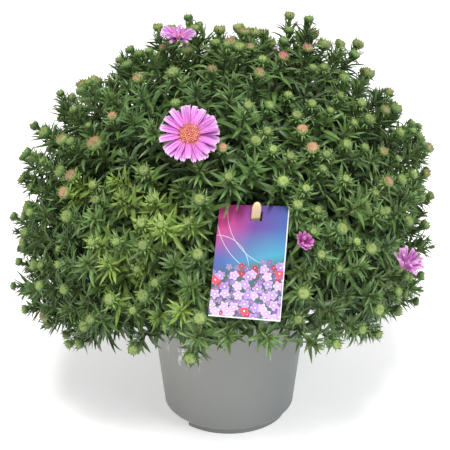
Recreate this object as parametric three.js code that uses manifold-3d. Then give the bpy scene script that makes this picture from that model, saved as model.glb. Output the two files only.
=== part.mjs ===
// A bushy aster in a grey nursery pot, in millimetres, +Z up. The origin is the centre of the pot's foot,
// on the surface that the pot stands on, and -Y is the side that faces the viewer. The plant is a dome of
// leafy stems. Each stem stands in its own hole in the compost, leans out to its own share of the dome and
// ends in leafy shoots with buds. A few blooms are open, and a picture card hangs on a stick in front.
import * as THREE from "three";
import { mergeVertices } from "three/addons/utils/BufferGeometryUtils.js";
import Module from "manifold-3d";

const wasm = await Module();
wasm.setup();

const DEG = Math.PI / 180;
const GOLDEN_ANGLE = 137.508 * DEG;
const V = (x, y, z) => new THREE.Vector3(x, y, z);

// Pot, from the foot up.
const POT_HEIGHT = 110;
const FOOT_RADIUS = 47;
const FOOT_HEIGHT = 5.5;
const FOOT_RING = 4;
const SHOULDER_RADIUS = 53.4;
const SHOULDER_HEIGHT = 14;
const WALL_TOP_RADIUS = 63.4;
const RIM_RADIUS = 65;
const RIM_DEPTH = 9;
const POT_WALL = 1.6;
const FLOOR_UNDERSIDE = 5.6;
const POT_SIDES = 28;
const OPENING_ANGLES = [-163, 17];
const OPENING_WIDTH = 45.6;
const OPENING_HEIGHT = 4.9;

// Compost, and the stems' roots in it.
const COMPOST_TOP = 98;
const COMPOST_GAP = 0.4;
const ROOTED_DEPTH = 13;
const HOLE_RADIUS = 4;
const ROOT_SPREAD = 46;

// Dome: how far the shoots reach from its centre, every 15 degrees from the top down to below the sides.
// Bulges are places (polar, azimuth and width in degrees) where it reaches further or less far, as a share.
// The hem is the lowest direction of the foliage, which is higher over the front of the pot.
const DOME_CENTRE = V(0.4, -1.6, 120);
const DOME_REACH = [195, 200, 199, 189, 177, 168, 161, 144];
const DOME_STEP = 15;
const BULGES = [
  [49, -172, 13, 0.06], [40, 0, 15, 0.03], [70, -11, 11, -0.11], [92, -28, 17, -0.18], [30, 60, 20, -0.03],
  [95, 180, 20, -0.045], [88, -158, 12, 0.04], [20, 32, 10, 0.06], [34, 166, 9, -0.07], [101, -142, 11, -0.1],
  [57, -4, 7, 0.05], [84, -92, 18, 0.025],
];
const HEM = 97;
const HEM_RISE = 18;
const HEM_RISE_AZIMUTH = -78;
const HEM_RISE_WIDTH = 38;
const STEMS_ABOVE_HEM = 11;
const EVENING_ROUNDS = 150;
const EVENING_PUSH = 0.0015;
const LOWEST_LEAF = 83;

// Leafy stems and what grows on them. The levels are parts of the dome's reach.
const STEM_COUNT = 20;
const STEM_RADIUS = 2;
const SHOOTS_AROUND = 4;
const SHOOT_SPREAD = 12.3;
const LOW_STEM = 75;
const DOWNWARD_PAIR = -135;
const SHOOT_LEVEL = 0.6;
const SHOOT_RADIUS = 2.4;
const STALK_RADIUS = 1.4;
const BUD_RADIUS = 4.6;
const NEIGHBOUR_GAP = 0.6;
const CORE_SIDES = 6;
const CORE_FOOT = 0.42;
const CORE_RINGS = [[0.44, 0.8], [0.6, 0.82], [0.7, 0.6]];
const CORE_CROWN = 0.74;
const CORE_SPREAD = 22;
const LEADER_LEVELS = [0.41, 0.56];
const STALK_LEVEL = 0.66;

// Whorls of leaves on a shoot, from the lowest: how far below the bud they grow, and how far they lean out.
const WHORL_LEAVES = 5;
const WHORLS = [{ below: 22, lean: 70 }, { below: 15.5, lean: 54 }, { below: 10, lean: 36 }];
const WHORL_RADIUS = 5.6;
const WHORL_DEPTH = 2.4;
const LEAF_LENGTH = 31;
const SHORTEST_LEAF = 8.4;

// Picture card, and the flat stick that it hangs on. The card leans back, a little more on its left side.
const CARD_WIDTH = 50;
const CARD_HEIGHT = 80;
const CARD_THICKNESS = 0.8;
const CARD_FOOT = V(10.4, -157, 160);
const CARD_LEAN = 35;
const CARD_TWIST = 7;
const CARD_ROLL = 1.5;
const CARD_TURN = -6.8;
const SLOT_PLACE = [0.03, 0.905];
const STICK_WIDTH = 7;
const STICK_THICKNESS = 1.8;
const STICK_FOOT = V(10, -37, 84);
const STICK_PAST_CARD = 15.5;
const STICK_GAP = 0.35;

// Air that the foliage leaves round the card, the stick, the pot's rim and the face of a bloom, and how
// much more the tips of leaves and buds leave.
const CARD_AIR = 1.2;
const STICK_AIR = 0.9;
const RIM_AIR = 1.3;
const BLOOM_AIR = 2;
const TIP_AIR = 2;
const VIEW_DEPTH = 70;
const RIM_INSIDE = 58;
const RIM_BOTTOM = 80;

// Blooms. Polar and azimuth give the place on the dome, lift and turn the way that the face looks, and cup
// how far the rays stand up out of the face, all in degrees; out is how far the face stands proud of the
// dome.
const BLOOMS = {
  front: { polar: 37, azimuth: -103, out: 6, rays: 18, length: 14.6, cup: 6, lift: 42, turn: -94, disc: 7.8 },
  top: { polar: 12, azimuth: -153, out: 4, rays: 10, length: 11.5, cup: 20, lift: 84, turn: -50, disc: 4 },
  right: { polar: 72, azimuth: -38, out: 2, rays: 9, length: 14, cup: 52, lift: 56, turn: -35, disc: 0 },
  opening: { polar: 59, azimuth: -72, out: 0, rays: 7, length: 10, cup: 68, lift: 34, turn: -62, disc: 0 },
  back: { polar: 44, azimuth: 72, out: 5, rays: 13, length: 15.5, cup: 10, lift: 50, turn: 75, disc: 6 },
};
const RAY_THICKNESS = 0.8;
const RAY_SECTIONS = [[0.72, 1], [1, 0.6]];
const HUB_THICKNESS = 1.8;
const FACE_GAP = 0.35;

const plastic = { roughness: 0.45, metalness: 0 };
const GREEN = new THREE.MeshStandardMaterial({ color: 0x3f6b2a, roughness: 0.62, metalness: 0 });
const PINK = new THREE.MeshStandardMaterial({ color: 0xd97be0, roughness: 0.55, metalness: 0 });
const ORANGE = new THREE.MeshStandardMaterial({ color: 0xc9694c, roughness: 0.8, metalness: 0 });
const GREY = new THREE.MeshStandardMaterial({ color: 0x8f928f, ...plastic });
const BROWN = new THREE.MeshStandardMaterial({ color: 0x2f2118, roughness: 0.95, metalness: 0 });
const PRINT = new THREE.MeshStandardMaterial({ color: 0xa889c9, ...plastic });
const PALE_WOOD = new THREE.MeshStandardMaterial({ color: 0xe8d29a, roughness: 0.7, metalness: 0 });

const plant = new THREE.Group();

// Repeatable random numbers from 0 to 1.
function drawFrom(seed) {
  let state = seed;
  return () => {
    state = (state + 0x6d2b79f5) | 0;
    let t = Math.imul(state ^ (state >>> 15), 1 | state);
    t = (t + Math.imul(t ^ (t >>> 7), 61 | t)) ^ t;
    return ((t ^ (t >>> 14)) >>> 0) / 4294967296;
  };
}

// A closed geometry as a solid that can be joined and cut.
function solidOf(geometry) {
  const bare = geometry.index ? geometry.toNonIndexed() : geometry.clone();
  bare.deleteAttribute("normal");
  bare.deleteAttribute("uv");
  const merged = mergeVertices(bare, 1e-4);
  const corners = merged.index.array;
  const faces = [];
  for (let i = 0; i < corners.length; i += 3) {
    const [a, b, c] = [corners[i], corners[i + 1], corners[i + 2]];
    if (a !== b && b !== c && c !== a) faces.push(a, b, c);
  }
  const vertProperties = merged.attributes.position.array;
  return new wasm.Manifold(new wasm.Mesh({ numProp: 3, vertProperties, triVerts: new Uint32Array(faces) }));
}

// The largest body of a solid: a cut can leave loose scraps.
const larger = (one, other) => (other.volume() > one.volume() ? other : one);
const largest = (solid) => solid.decompose().reduce(larger);

function add(name, solid, material) {
  const { vertProperties, triVerts } = solid.getMesh();
  const geometry = new THREE.BufferGeometry();
  geometry.setAttribute("position", new THREE.BufferAttribute(vertProperties, 3));
  geometry.setIndex(new THREE.BufferAttribute(triVerts, 1));
  const mesh = new THREE.Mesh(geometry, material);
  mesh.name = name;
  plant.add(mesh);
}

// A geometry made upright along +Y, laid along an axis at a place.
function laidAlong(geometry, axis, place) {
  geometry.applyQuaternion(new THREE.Quaternion().setFromUnitVectors(V(0, 1, 0), axis));
  return solidOf(geometry.translate(place.x, place.y, place.z));
}

const turnedProfile = (pairs, sides) =>
  new THREE.LatheGeometry(pairs.map(([radius, height]) => new THREE.Vector2(radius, height)), sides);

const direction = (polar, azimuth) =>
  V(Math.sin(polar) * Math.cos(azimuth), Math.sin(polar) * Math.sin(azimuth), Math.cos(polar));

// The direction at an angle from an axis, round it.
function swung(axis, angle, round) {
  const aside = Math.abs(axis.z) < 0.9 ? V(0, 0, 1) : V(1, 0, 0);
  const first = new THREE.Vector3().crossVectors(aside, axis).normalize();
  const second = new THREE.Vector3().crossVectors(axis, first);
  const sideways = first.multiplyScalar(Math.cos(round)).addScaledVector(second, Math.sin(round));
  return axis.clone().multiplyScalar(Math.cos(angle)).addScaledVector(sideways, Math.sin(angle));
}

const polarOf = (aim) => Math.acos(THREE.MathUtils.clamp(aim.z, -1, 1));

// The dome's reach in a direction.
function reachOf(aim) {
  const place = polarOf(aim) / DEG / DOME_STEP;
  const row = Math.min(DOME_REACH.length - 2, Math.floor(place));
  let reach = DOME_REACH[row] * (row + 1 - place) + DOME_REACH[row + 1] * (place - row);
  for (const [polar, azimuth, width, share] of BULGES) {
    const away = aim.angleTo(direction(polar * DEG, azimuth * DEG)) / (width * DEG);
    reach *= 1 + share * Math.exp(-away * away);
  }
  return reach;
}

// The hem's polar angle under a direction.
function hemOf(aim) {
  const away = aim.angleTo(direction(90 * DEG, HEM_RISE_AZIMUTH * DEG)) / (HEM_RISE_WIDTH * DEG);
  return (HEM - HEM_RISE * Math.exp(-away * away)) * DEG;
}

const domePoint = (aim, reach) => DOME_CENTRE.clone().addScaledVector(aim, reach);

// The stems' directions, spread over the dome; a stem that carries a bloom points at it. The others are
// then pushed apart, round by round, until they are evenly spaced.
const stems = [];
for (let i = 0; i < STEM_COUNT; i++) {
  const polar = Math.acos(1 - (i + 0.5) / STEM_COUNT);
  stems.push(direction(polar, i * GOLDEN_ANGLE));
}
for (const bloom of Object.values(BLOOMS)) {
  const aim = direction(bloom.polar * DEG, bloom.azimuth * DEG);
  bloom.stem = stems.reduce((best, axis, i) => (axis.dot(aim) > stems[best].dot(aim) ? i : best), 0);
  stems[bloom.stem] = aim;
  bloom.centre = domePoint(aim, reachOf(aim) + bloom.out);
  bloom.facing = direction((90 - bloom.lift) * DEG, bloom.turn * DEG);
  bloom.hub = Math.max(2.6, bloom.disc - 0.6);
}
const bloomStems = Object.values(BLOOMS).map((bloom) => bloom.stem);
for (let round = 0; round < EVENING_ROUNDS; round++) {
  stems.forEach((axis, own) => {
    if (bloomStems.includes(own)) return;
    const push = V(0, 0, 0);
    for (const other of stems) {
      const apart = axis.clone().sub(other);
      if (other !== axis) push.addScaledVector(apart, Math.pow(apart.length(), -5));
    }
    axis.addScaledVector(push, EVENING_PUSH).normalize();
    const lowest = hemOf(axis) - STEMS_ABOVE_HEM * DEG;
    if (polarOf(axis) > lowest) axis.copy(direction(lowest, Math.atan2(axis.y, axis.x)));
  });
}

// How far a point is inside a stem's share of the dome; shares meet at the planes midway between stems.
function roomInShare(point, own) {
  const offset = point.clone().sub(DOME_CENTRE);
  let room = Infinity;
  stems.forEach((axis, other) => {
    if (other !== own) room = Math.min(room, offset.dot(stems[own].clone().sub(axis).normalize()));
  });
  return room;
}

// A tube along a curve, with flat ends.
function tube(curve, radius, sides, steps) {
  const outline = new THREE.Shape();
  for (let side = 0; side < sides; side++) {
    const angle = (side * 2 * Math.PI) / sides;
    outline[side ? "lineTo" : "moveTo"](radius * Math.cos(angle), radius * Math.sin(angle));
  }
  return solidOf(new THREE.ExtrudeGeometry(outline, { steps, extrudePath: curve }));
}

// A ray of a bloom: from a root point it widens to three-sided sections with a keel below, and ends
// bluntly.
function raySolid({ root, along, upper, length, width, bend }) {
  const side = new THREE.Vector3().crossVectors(along, upper).normalize();
  const face = new THREE.Vector3().crossVectors(side, along).normalize();
  const points = [root.clone()];
  for (const [t, share] of RAY_SECTIONS) {
    const middle = root.clone().addScaledVector(along, length * t);
    middle.addScaledVector(face, -bend * length * t * t);
    points.push(middle.clone().addScaledVector(side, (width * share) / 2));
    points.push(middle.clone().addScaledVector(side, (-width * share) / 2));
    points.push(middle.addScaledVector(face, -RAY_THICKNESS));
  }
  const last = points.length - 3;
  const faces = [[last + 2, last + 1, last]];
  for (const [a, b] of [[0, 1], [1, 2], [2, 0]]) {
    faces.push([0, 1 + a, 1 + b]);
    for (let near = 1; near < last; near += 3) {
      faces.push([near + b, near + a, near + 3 + a], [near + b, near + 3 + a, near + 3 + b]);
    }
  }
  return solidOf(new THREE.BufferGeometry().setFromPoints(points).setIndex(faces.flat()));
}

// The card's surface: across from -0.5 to 0.5, up from 0 to 1, and out from its face.
function cardPoint(across, up, out) {
  const lean = (CARD_LEAN - CARD_TWIST * across) * DEG;
  const roll = CARD_ROLL * DEG;
  const x = across * CARD_WIDTH * Math.cos(roll) + up * CARD_HEIGHT * Math.sin(roll);
  const rise = up * CARD_HEIGHT * Math.cos(roll) - across * CARD_WIDTH * Math.sin(roll);
  const back = rise * Math.sin(lean) - out * Math.cos(lean);
  const high = rise * Math.cos(lean) + out * Math.sin(lean);
  return V(x, back, high).applyAxisAngle(V(0, 0, 1), CARD_TURN * DEG).add(CARD_FOOT);
}

// A block that follows the card, from a distance behind its middle to a distance in front, and past its
// edges.
function cardBlock(behind, inFront, past) {
  const box = new THREE.BoxGeometry(1, 1, 1, 3, 3, 1);
  const position = box.attributes.position;
  for (let i = 0; i < position.count; i++) {
    const across = position.getX(i) * (1 + (2 * past) / CARD_WIDTH);
    const up = 0.5 + position.getY(i) * (1 + (2 * past) / CARD_HEIGHT);
    const point = cardPoint(across, up, position.getZ(i) > 0 ? inFront : -behind);
    position.setXYZ(i, point.x, point.y, point.z);
  }
  return solidOf(box);
}

// The stick runs from the compost up behind the card, and through the card's slot to its front.
const slot = cardPoint(...SLOT_PLACE, 0);
const stickAlong = slot.clone().sub(STICK_FOOT).normalize();
const stickLength = slot.distanceTo(STICK_FOOT) + STICK_PAST_CARD;

// A flat stick with a round top, or the room that it needs.
function stickSolid(past) {
  const half = STICK_WIDTH / 2 + past;
  const outline = new THREE.Shape();
  outline.moveTo(-half, -past);
  outline.lineTo(half, -past);
  outline.lineTo(half, stickLength - STICK_WIDTH / 2);
  outline.absarc(0, stickLength - STICK_WIDTH / 2, half, 0, Math.PI);
  const depth = STICK_THICKNESS + 2 * past;
  const flat = new THREE.ExtrudeGeometry(outline, { depth, bevelEnabled: false, curveSegments: 5 });
  flat.translate(0, 0, -depth / 2);
  const across = V(1, 0, 0).addScaledVector(stickAlong, -stickAlong.x).normalize();
  const through = new THREE.Vector3().crossVectors(across, stickAlong);
  const frame = new THREE.Matrix4().makeBasis(across, stickAlong, through);
  return solidOf(flat.applyMatrix4(frame.setPosition(STICK_FOOT)));
}

// The foliage leaves room for the card, the stick, the pot's rim and the face of each bloom.
const [rimOut, rimTop] = [RIM_RADIUS + RIM_AIR, POT_HEIGHT + RIM_AIR];
const rimCorners = [
  [RIM_INSIDE, RIM_BOTTOM], [rimOut, RIM_BOTTOM], [rimOut, rimTop], [RIM_INSIDE, rimTop],
  [RIM_INSIDE, RIM_BOTTOM],
];
const rooms = [
  cardBlock(CARD_AIR, VIEW_DEPTH, CARD_AIR),
  stickSolid(STICK_AIR),
  laidAlong(turnedProfile(rimCorners, POT_SIDES / 2), V(0, 0, 1), V(0, 0, 0)),
];
for (const bloom of Object.values(BLOOMS)) {
  const wide = bloom.hub + bloom.length * Math.cos(bloom.cup * DEG) + BLOOM_AIR;
  const high = HUB_THICKNESS + bloom.length * Math.sin(bloom.cup * DEG) + 6 * BLOOM_AIR;
  const under = -0.75 * BLOOM_AIR;
  const corners = [[0, under], [bloom.hub + BLOOM_AIR, under], [wide, 0], [wide, high], [0, high]];
  rooms.push(laidAlong(turnedProfile(corners, 12), bloom.facing, bloom.centre));
}

// Whether a point is in such a room, with some space to spare.
const cardRight = cardPoint(0.5, 0.5, 0).sub(cardPoint(-0.5, 0.5, 0)).normalize();
const cardUp = cardPoint(0, 1, 0).sub(cardPoint(0, 0, 0)).normalize();
const cardOut = new THREE.Vector3().crossVectors(cardRight, cardUp);
function inTheWay(point) {
  const toCard = point.clone().sub(CARD_FOOT);
  const up = toCard.dot(cardUp);
  const past = CARD_AIR + TIP_AIR;
  const aside = Math.abs(toCard.dot(cardRight)) > CARD_WIDTH / 2 + past;
  const aboveOrBelow = up < -past || up > CARD_HEIGHT + past;
  if (!aside && !aboveOrBelow && toCard.dot(cardOut) > -2 * TIP_AIR) return true;
  const toStick = point.clone().sub(STICK_FOOT);
  const fromStick = toStick.addScaledVector(stickAlong, -toStick.dot(stickAlong)).length();
  if (fromStick < STICK_WIDTH / 2 + STICK_AIR + TIP_AIR / 2) return true;
  if (Math.hypot(point.x, point.y) < rimOut + TIP_AIR && point.z < rimTop + TIP_AIR) return true;
  return Object.values(BLOOMS).some((bloom) => {
    const offset = point.clone().sub(bloom.centre);
    const high = offset.dot(bloom.facing);
    const wide = offset.addScaledVector(bloom.facing, -high).length();
    const face = bloom.hub + bloom.length * Math.cos(bloom.cup * DEG);
    return high > -TIP_AIR && wide < face + BLOOM_AIR + TIP_AIR / 2;
  });
}

// The dense inside of a stem's foliage, which the leaves stand out of: a lump that fills its share of the
// dome.
function coreSolid(own, draw) {
  const axis = stems[own];
  const reach = reachOf(axis);
  const points = [domePoint(axis, reach * CORE_FOOT)];
  for (const [level, fill] of CORE_RINGS) {
    for (let side = 0; side < CORE_SIDES; side++) {
      const round = ((side + 0.4 * draw()) * 2 * Math.PI) / CORE_SIDES;
      let angle = CORE_SPREAD * DEG;
      let aim = swung(axis, angle, round);
      while (roomInShare(domePoint(aim, reach * level), own) < NEIGHBOUR_GAP || polarOf(aim) > hemOf(aim)) {
        angle *= 0.96;
        aim = swung(axis, angle, round);
      }
      points.push(domePoint(swung(axis, angle * fill, round), reach * level));
    }
  }
  points.push(domePoint(axis, reach * CORE_CROWN));
  const faces = [];
  const crown = points.length - 1;
  const rings = CORE_RINGS.length;
  for (let side = 0; side < CORE_SIDES; side++) {
    const next = (side + 1) % CORE_SIDES;
    faces.push([0, 1 + next, 1 + side]);
    for (let ring = 0; ring + 1 < rings; ring++) {
      const [low, high] = [1 + ring * CORE_SIDES, 1 + (ring + 1) * CORE_SIDES];
      faces.push([low + side, low + next, high + side], [low + next, high + next, high + side]);
    }
    const top = crown - CORE_SIDES;
    faces.push([top + side, top + next, crown]);
  }
  const geometry = new THREE.BufferGeometry().setFromPoints(points);
  return solidOf(geometry.setIndex(faces.flat()));
}

// Where a stem's shoots point and how far they reach: one in the middle, unless the stem carries a bloom,
// and the others round it, two of them side by side at the hem on a low stem. They stop short of the dome
// where the card or a bloom is in the way.
function shootsOf(own) {
  const draw = drawFrom(101 + own);
  const low = polarOf(stems[own]) > LOW_STEM * DEG;
  const start = low ? (DOWNWARD_PAIR + 20 * (draw() - 0.5)) * DEG : draw() * 2 * Math.PI;
  const aims = bloomStems.includes(own) ? [] : [swung(stems[own], 2 * DEG, start)];
  for (let i = 0; i < SHOOTS_AROUND; i++) {
    const round = start + ((i + 0.2 * draw()) * 2 * Math.PI) / SHOOTS_AROUND;
    aims.push(swung(stems[own], SHOOT_SPREAD * (0.88 + 0.24 * draw()) * DEG, round));
  }
  const shoots = aims.map((aim) => {
    const level = 0.945 + 0.045 * draw();
    return { aim, level, bud: BUD_RADIUS * (0.9 + 0.2 * draw()) };
  });
  for (const shoot of shoots) {
    const top = () => domePoint(shoot.aim, reachOf(shoot.aim) * shoot.level + shoot.bud);
    const needed = shoot.bud + NEIGHBOUR_GAP + 1;
    while (roomInShare(top(), own) < needed) shoot.aim.lerp(stems[own], 0.1).normalize();
    while (shoot.level > 0.8 && inTheWay(top())) shoot.level -= 0.03;
    shoot.blocked = inTheWay(top());
  }
  return shoots.filter((shoot) => !shoot.blocked);
}

// A shoot: a column from the core to its bud, with whorls of leaves drawn out of it. Each leaf stays in its
// stem's share, and nearer to its own shoot than to the stem's others; it is shorter where it would not.
function shootSolid(own, shoot, rivals, draw) {
  const reach = reachOf(shoot.aim);
  const root = domePoint(stems[own].clone().lerp(shoot.aim, 0.75).normalize(), reach * SHOOT_LEVEL);
  const axis = domePoint(shoot.aim, reach * shoot.level).sub(root);
  const high = axis.length();
  axis.normalize();
  const points = [];
  const faces = [];
  const onAxis = (height) => root.clone().addScaledVector(axis, height);
  const ring = (height, radius, turn) => {
    const first = points.length;
    for (let i = 0; i < WHORL_LEAVES; i++) {
      const round = turn + (2 * Math.PI * i) / WHORL_LEAVES;
      points.push(onAxis(height).addScaledVector(swung(axis, 90 * DEG, round), radius));
    }
    return first;
  };
  const join = (low, top) => {
    for (let i = 0; i < WHORL_LEAVES; i++) {
      const next = (i + 1) % WHORL_LEAVES;
      faces.push([low + i, low + next, top + i], [low + next, top + next, top + i]);
    }
  };
  const fits = (point) => {
    const offset = point.clone().sub(DOME_CENTRE);
    const apart = rivals.every((rival) => offset.dot(shoot.aim.clone().sub(rival)) > 0);
    const low = point.z < LOWEST_LEAF || polarOf(offset.normalize()) > hemOf(offset) + 3 * DEG;
    return apart && !low && roomInShare(point, own) > NEIGHBOUR_GAP && !inTheWay(point);
  };
  const leafTip = (height, round, lean) => {
    const along = swung(axis, lean, round);
    let length = LEAF_LENGTH * (0.85 + 0.3 * draw());
    const tip = () => onAxis(height).addScaledVector(along, length);
    while (length > SHORTEST_LEAF && !fits(tip())) length *= 0.92;
    return tip();
  };
  const start = draw() * 2 * Math.PI;
  const half = Math.PI / WHORL_LEAVES;
  let below = ring(high - shoot.bud - WHORLS[0].below - WHORL_DEPTH, SHOOT_RADIUS, start);
  const foot = points.push(root) - 1;
  for (let i = 0; i < WHORL_LEAVES; i++) faces.push([foot, below + ((i + 1) % WHORL_LEAVES), below + i]);
  WHORLS.forEach((whorl, row) => {
    const turn = start + row * half;
    const height = high - shoot.bud - whorl.below;
    const notches = ring(height, WHORL_RADIUS, turn + half);
    const nextBelow = row + 1 < WHORLS.length ? WHORLS[row + 1].below : WHORL_DEPTH;
    const above = ring(high - shoot.bud - (whorl.below + nextBelow) / 2, SHOOT_RADIUS * 0.9, turn + half);
    for (let i = 0; i < WHORL_LEAVES; i++) {
      const before = (i + WHORL_LEAVES - 1) % WHORL_LEAVES;
      const round = turn + 2 * half * i + 0.16 * (draw() - 0.5);
      const tip = points.push(leafTip(height, round, (whorl.lean + 12 * (draw() - 0.5)) * DEG)) - 1;
      const [left, right] = [notches + before, notches + i];
      const [low, next, high] = [below + i, below + ((i + 1) % WHORL_LEAVES), above + i];
      faces.push([low, tip, left], [low, right, tip], [low, next, right]);
      faces.push([above + before, left, tip], [above + before, tip, high], [high, tip, right]);
    }
    below = above;
  });
  const turn = start + WHORLS.length * half;
  const neck = ring(high - shoot.bud, 0.5 * shoot.bud, turn);
  const low = ring(high - 0.25 * shoot.bud, shoot.bud, turn);
  const top = ring(high + 0.5 * shoot.bud, 0.8 * shoot.bud, turn);
  const tip = points.push(onAxis(high + 0.9 * shoot.bud)) - 1;
  join(below, neck);
  join(neck, low);
  join(low, top);
  for (let i = 0; i < WHORL_LEAVES; i++) faces.push([top + i, top + ((i + 1) % WHORL_LEAVES), tip]);
  return solidOf(new THREE.BufferGeometry().setFromPoints(points).setIndex(faces.flat()));
}

// A stem from the compost: upright to clear the rim, then out to the middle of its foliage.
function leaderSolid(own) {
  const axis = stems[own];
  const polar = polarOf(axis);
  const out = V(axis.x, axis.y, 0).normalize();
  const root = out.multiplyScalar(ROOT_SPREAD * Math.pow(polar / (90 * DEG), 0.8));
  const reach = reachOf(axis);
  const curve = new THREE.CatmullRomCurve3([
    root.clone().setZ(COMPOST_TOP - ROOTED_DEPTH), root.clone().setZ(COMPOST_TOP - 0.4 * ROOTED_DEPTH),
    root.clone().setZ(COMPOST_TOP + 2), ...LEADER_LEVELS.map((level) => domePoint(axis, reach * level)),
  ]);
  return { root, solid: tube(curve, STEM_RADIUS, 3, 5) };
}

// A bloom's stalk and the green cup under its rays.
function stalkSolid(bloom) {
  const [place, axis] = [bloom.centre, bloom.facing];
  const cup = bloom.hub + 1.2;
  const under = -FACE_GAP;
  const outline = [
    [0, under - 1.7 * cup], [0.55 * cup, under - 1.4 * cup], [cup, under - 0.5 * cup], [0.9 * cup, under],
    [0, under],
  ];
  const start = domePoint(stems[bloom.stem], reachOf(stems[bloom.stem]) * STALK_LEVEL);
  const below = place.clone().addScaledVector(axis, -1.2 * cup);
  const curve = new THREE.QuadraticBezierCurve3(start, place.clone().addScaledVector(axis, -22), below);
  return tube(curve, STALK_RADIUS, 4, 3).add(laidAlong(turnedProfile(outline, 7), axis, place));
}

// A bloom's rays round their hub, and its disc.
function bloomSolids(bloom, draw) {
  const hub = turnedProfile([[0, 0], [bloom.hub, 0], [bloom.hub, HUB_THICKNESS], [0, HUB_THICKNESS]], 9);
  const solids = [laidAlong(hub, bloom.facing, bloom.centre)];
  const open = Math.cos(bloom.cup * DEG);
  const widest = (2 * Math.PI * (bloom.hub + 0.72 * bloom.length * open)) / bloom.rays;
  for (let ray = 0; ray < bloom.rays; ray++) {
    const out = swung(bloom.facing, 90 * DEG, ((ray + 0.25 * draw()) * 2 * Math.PI) / bloom.rays);
    const cup = (bloom.cup + 5 * draw() - 2.5) * DEG;
    const along = out.clone().multiplyScalar(Math.cos(cup)).addScaledVector(bloom.facing, Math.sin(cup));
    const upper = bloom.facing.clone().multiplyScalar(Math.cos(cup)).addScaledVector(out, -Math.sin(cup));
    const root = bloom.centre.clone().addScaledVector(out, 0.3 * bloom.hub);
    root.addScaledVector(bloom.facing, 1.2);
    const length = bloom.length * (0.94 + 0.1 * draw()) + 0.7 * bloom.hub;
    const width = Math.min(4.6, widest * 0.86);
    solids.push(raySolid({ root, along, upper, length, width, bend: 0.08 - bloom.cup * 0.004 }));
  }
  const [flat, high] = [HUB_THICKNESS + FACE_GAP, 0.42 * bloom.disc];
  const disc = turnedProfile([[0, flat], [bloom.disc - 1.6, flat], [bloom.disc - 1.8, flat + 0.6 * high],
    [0.5 * bloom.disc, flat + high], [0, flat + 1.1 * high]], 10);
  return { rays: wasm.Manifold.union(solids), disc: laidAlong(disc, bloom.facing, bloom.centre) };
}

// Pot: foot ring, rounded shoulder, tapered wall and thick rim, with two wide openings through the foot ring.
function potSolid() {
  const [wallTop, shoulderIn] = [WALL_TOP_RADIUS - POT_WALL, SHOULDER_RADIUS - POT_WALL];
  const underRim = POT_HEIGHT - RIM_DEPTH;
  const outline = [
    [0, FLOOR_UNDERSIDE], [FOOT_RADIUS - FOOT_RING, FLOOR_UNDERSIDE], [FOOT_RADIUS - FOOT_RING + 0.5, 0],
    [FOOT_RADIUS, 0], [FOOT_RADIUS, FOOT_HEIGHT], [SHOULDER_RADIUS - 3.4, FOOT_HEIGHT + 0.9],
    [SHOULDER_RADIUS - 1.2, FOOT_HEIGHT + 3.4], [SHOULDER_RADIUS, SHOULDER_HEIGHT],
    [WALL_TOP_RADIUS, underRim], [RIM_RADIUS, underRim + 0.8], [RIM_RADIUS, POT_HEIGHT],
    [wallTop, POT_HEIGHT], [shoulderIn, SHOULDER_HEIGHT],
    [shoulderIn - 4.5, FOOT_HEIGHT + 3.5], [FOOT_RADIUS - FOOT_RING, FLOOR_UNDERSIDE + POT_WALL],
    [0, FLOOR_UNDERSIDE + POT_WALL],
  ];
  const turned = solidOf(turnedProfile(outline, POT_SIDES).rotateX(Math.PI / 2));
  const openings = OPENING_ANGLES.map((angle) => {
    const block = new THREE.BoxGeometry(FOOT_RADIUS / 2, OPENING_WIDTH, 2 * OPENING_HEIGHT);
    return solidOf(block.translate(FOOT_RADIUS, 0, 0).rotateZ(angle * DEG));
  });
  return turned.subtract(wasm.Manifold.union(openings));
}

// Compost: it fills the pot up to a slight mound, with a plain hole for each stem and for the stick.
function compostSolid(roots) {
  const inner = (height) => {
    const share = (height - SHOULDER_HEIGHT) / (POT_HEIGHT - SHOULDER_HEIGHT);
    return SHOULDER_RADIUS + share * (WALL_TOP_RADIUS - SHOULDER_RADIUS) - POT_WALL - COMPOST_GAP;
  };
  const outline = [[0, SHOULDER_HEIGHT], [inner(SHOULDER_HEIGHT), SHOULDER_HEIGHT],
    [inner(COMPOST_TOP - 2), COMPOST_TOP - 2], [inner(COMPOST_TOP) - 8, COMPOST_TOP], [0, COMPOST_TOP]];
  const turned = solidOf(turnedProfile(outline, POT_SIDES).rotateX(Math.PI / 2));
  const holes = roots.map((root) => {
    const hole = new THREE.CylinderGeometry(HOLE_RADIUS, HOLE_RADIUS, 2 * (ROOTED_DEPTH + COMPOST_GAP), 5);
    return solidOf(hole.rotateX(Math.PI / 2).translate(root.x, root.y, COMPOST_TOP));
  });
  return turned.subtract(wasm.Manifold.union([...holes, stickSolid(STICK_GAP)]));
}

const roomSolid = wasm.Manifold.union(rooms);
const roots = [];
stems.forEach((axis, own) => {
  const draw = drawFrom(501 + own);
  const foliage = [coreSolid(own, draw)];
  const shoots = shootsOf(own);
  for (const shoot of shoots) {
    const rivals = shoots.filter((other) => other !== shoot).map((other) => other.aim);
    foliage.push(shootSolid(own, shoot, rivals, draw));
  }
  const leader = leaderSolid(own);
  const cut = largest(wasm.Manifold.union(foliage).subtract(roomSolid));
  const stalks = Object.values(BLOOMS).filter((bloom) => bloom.stem === own).map(stalkSolid);
  roots.push(leader.root);
  const number = String(own + 1).padStart(2, "0");
  add(`leafy_stem_${number}`, wasm.Manifold.union([cut, leader.solid, ...stalks]), GREEN);
});

for (const [name, bloom] of Object.entries(BLOOMS)) {
  const { rays, disc } = bloomSolids(bloom, drawFrom(900 + bloom.rays));
  add(`bloom_${name}_rays`, rays, PINK);
  if (bloom.disc) add(`bloom_${name}_disc`, disc, ORANGE);
}

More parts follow.
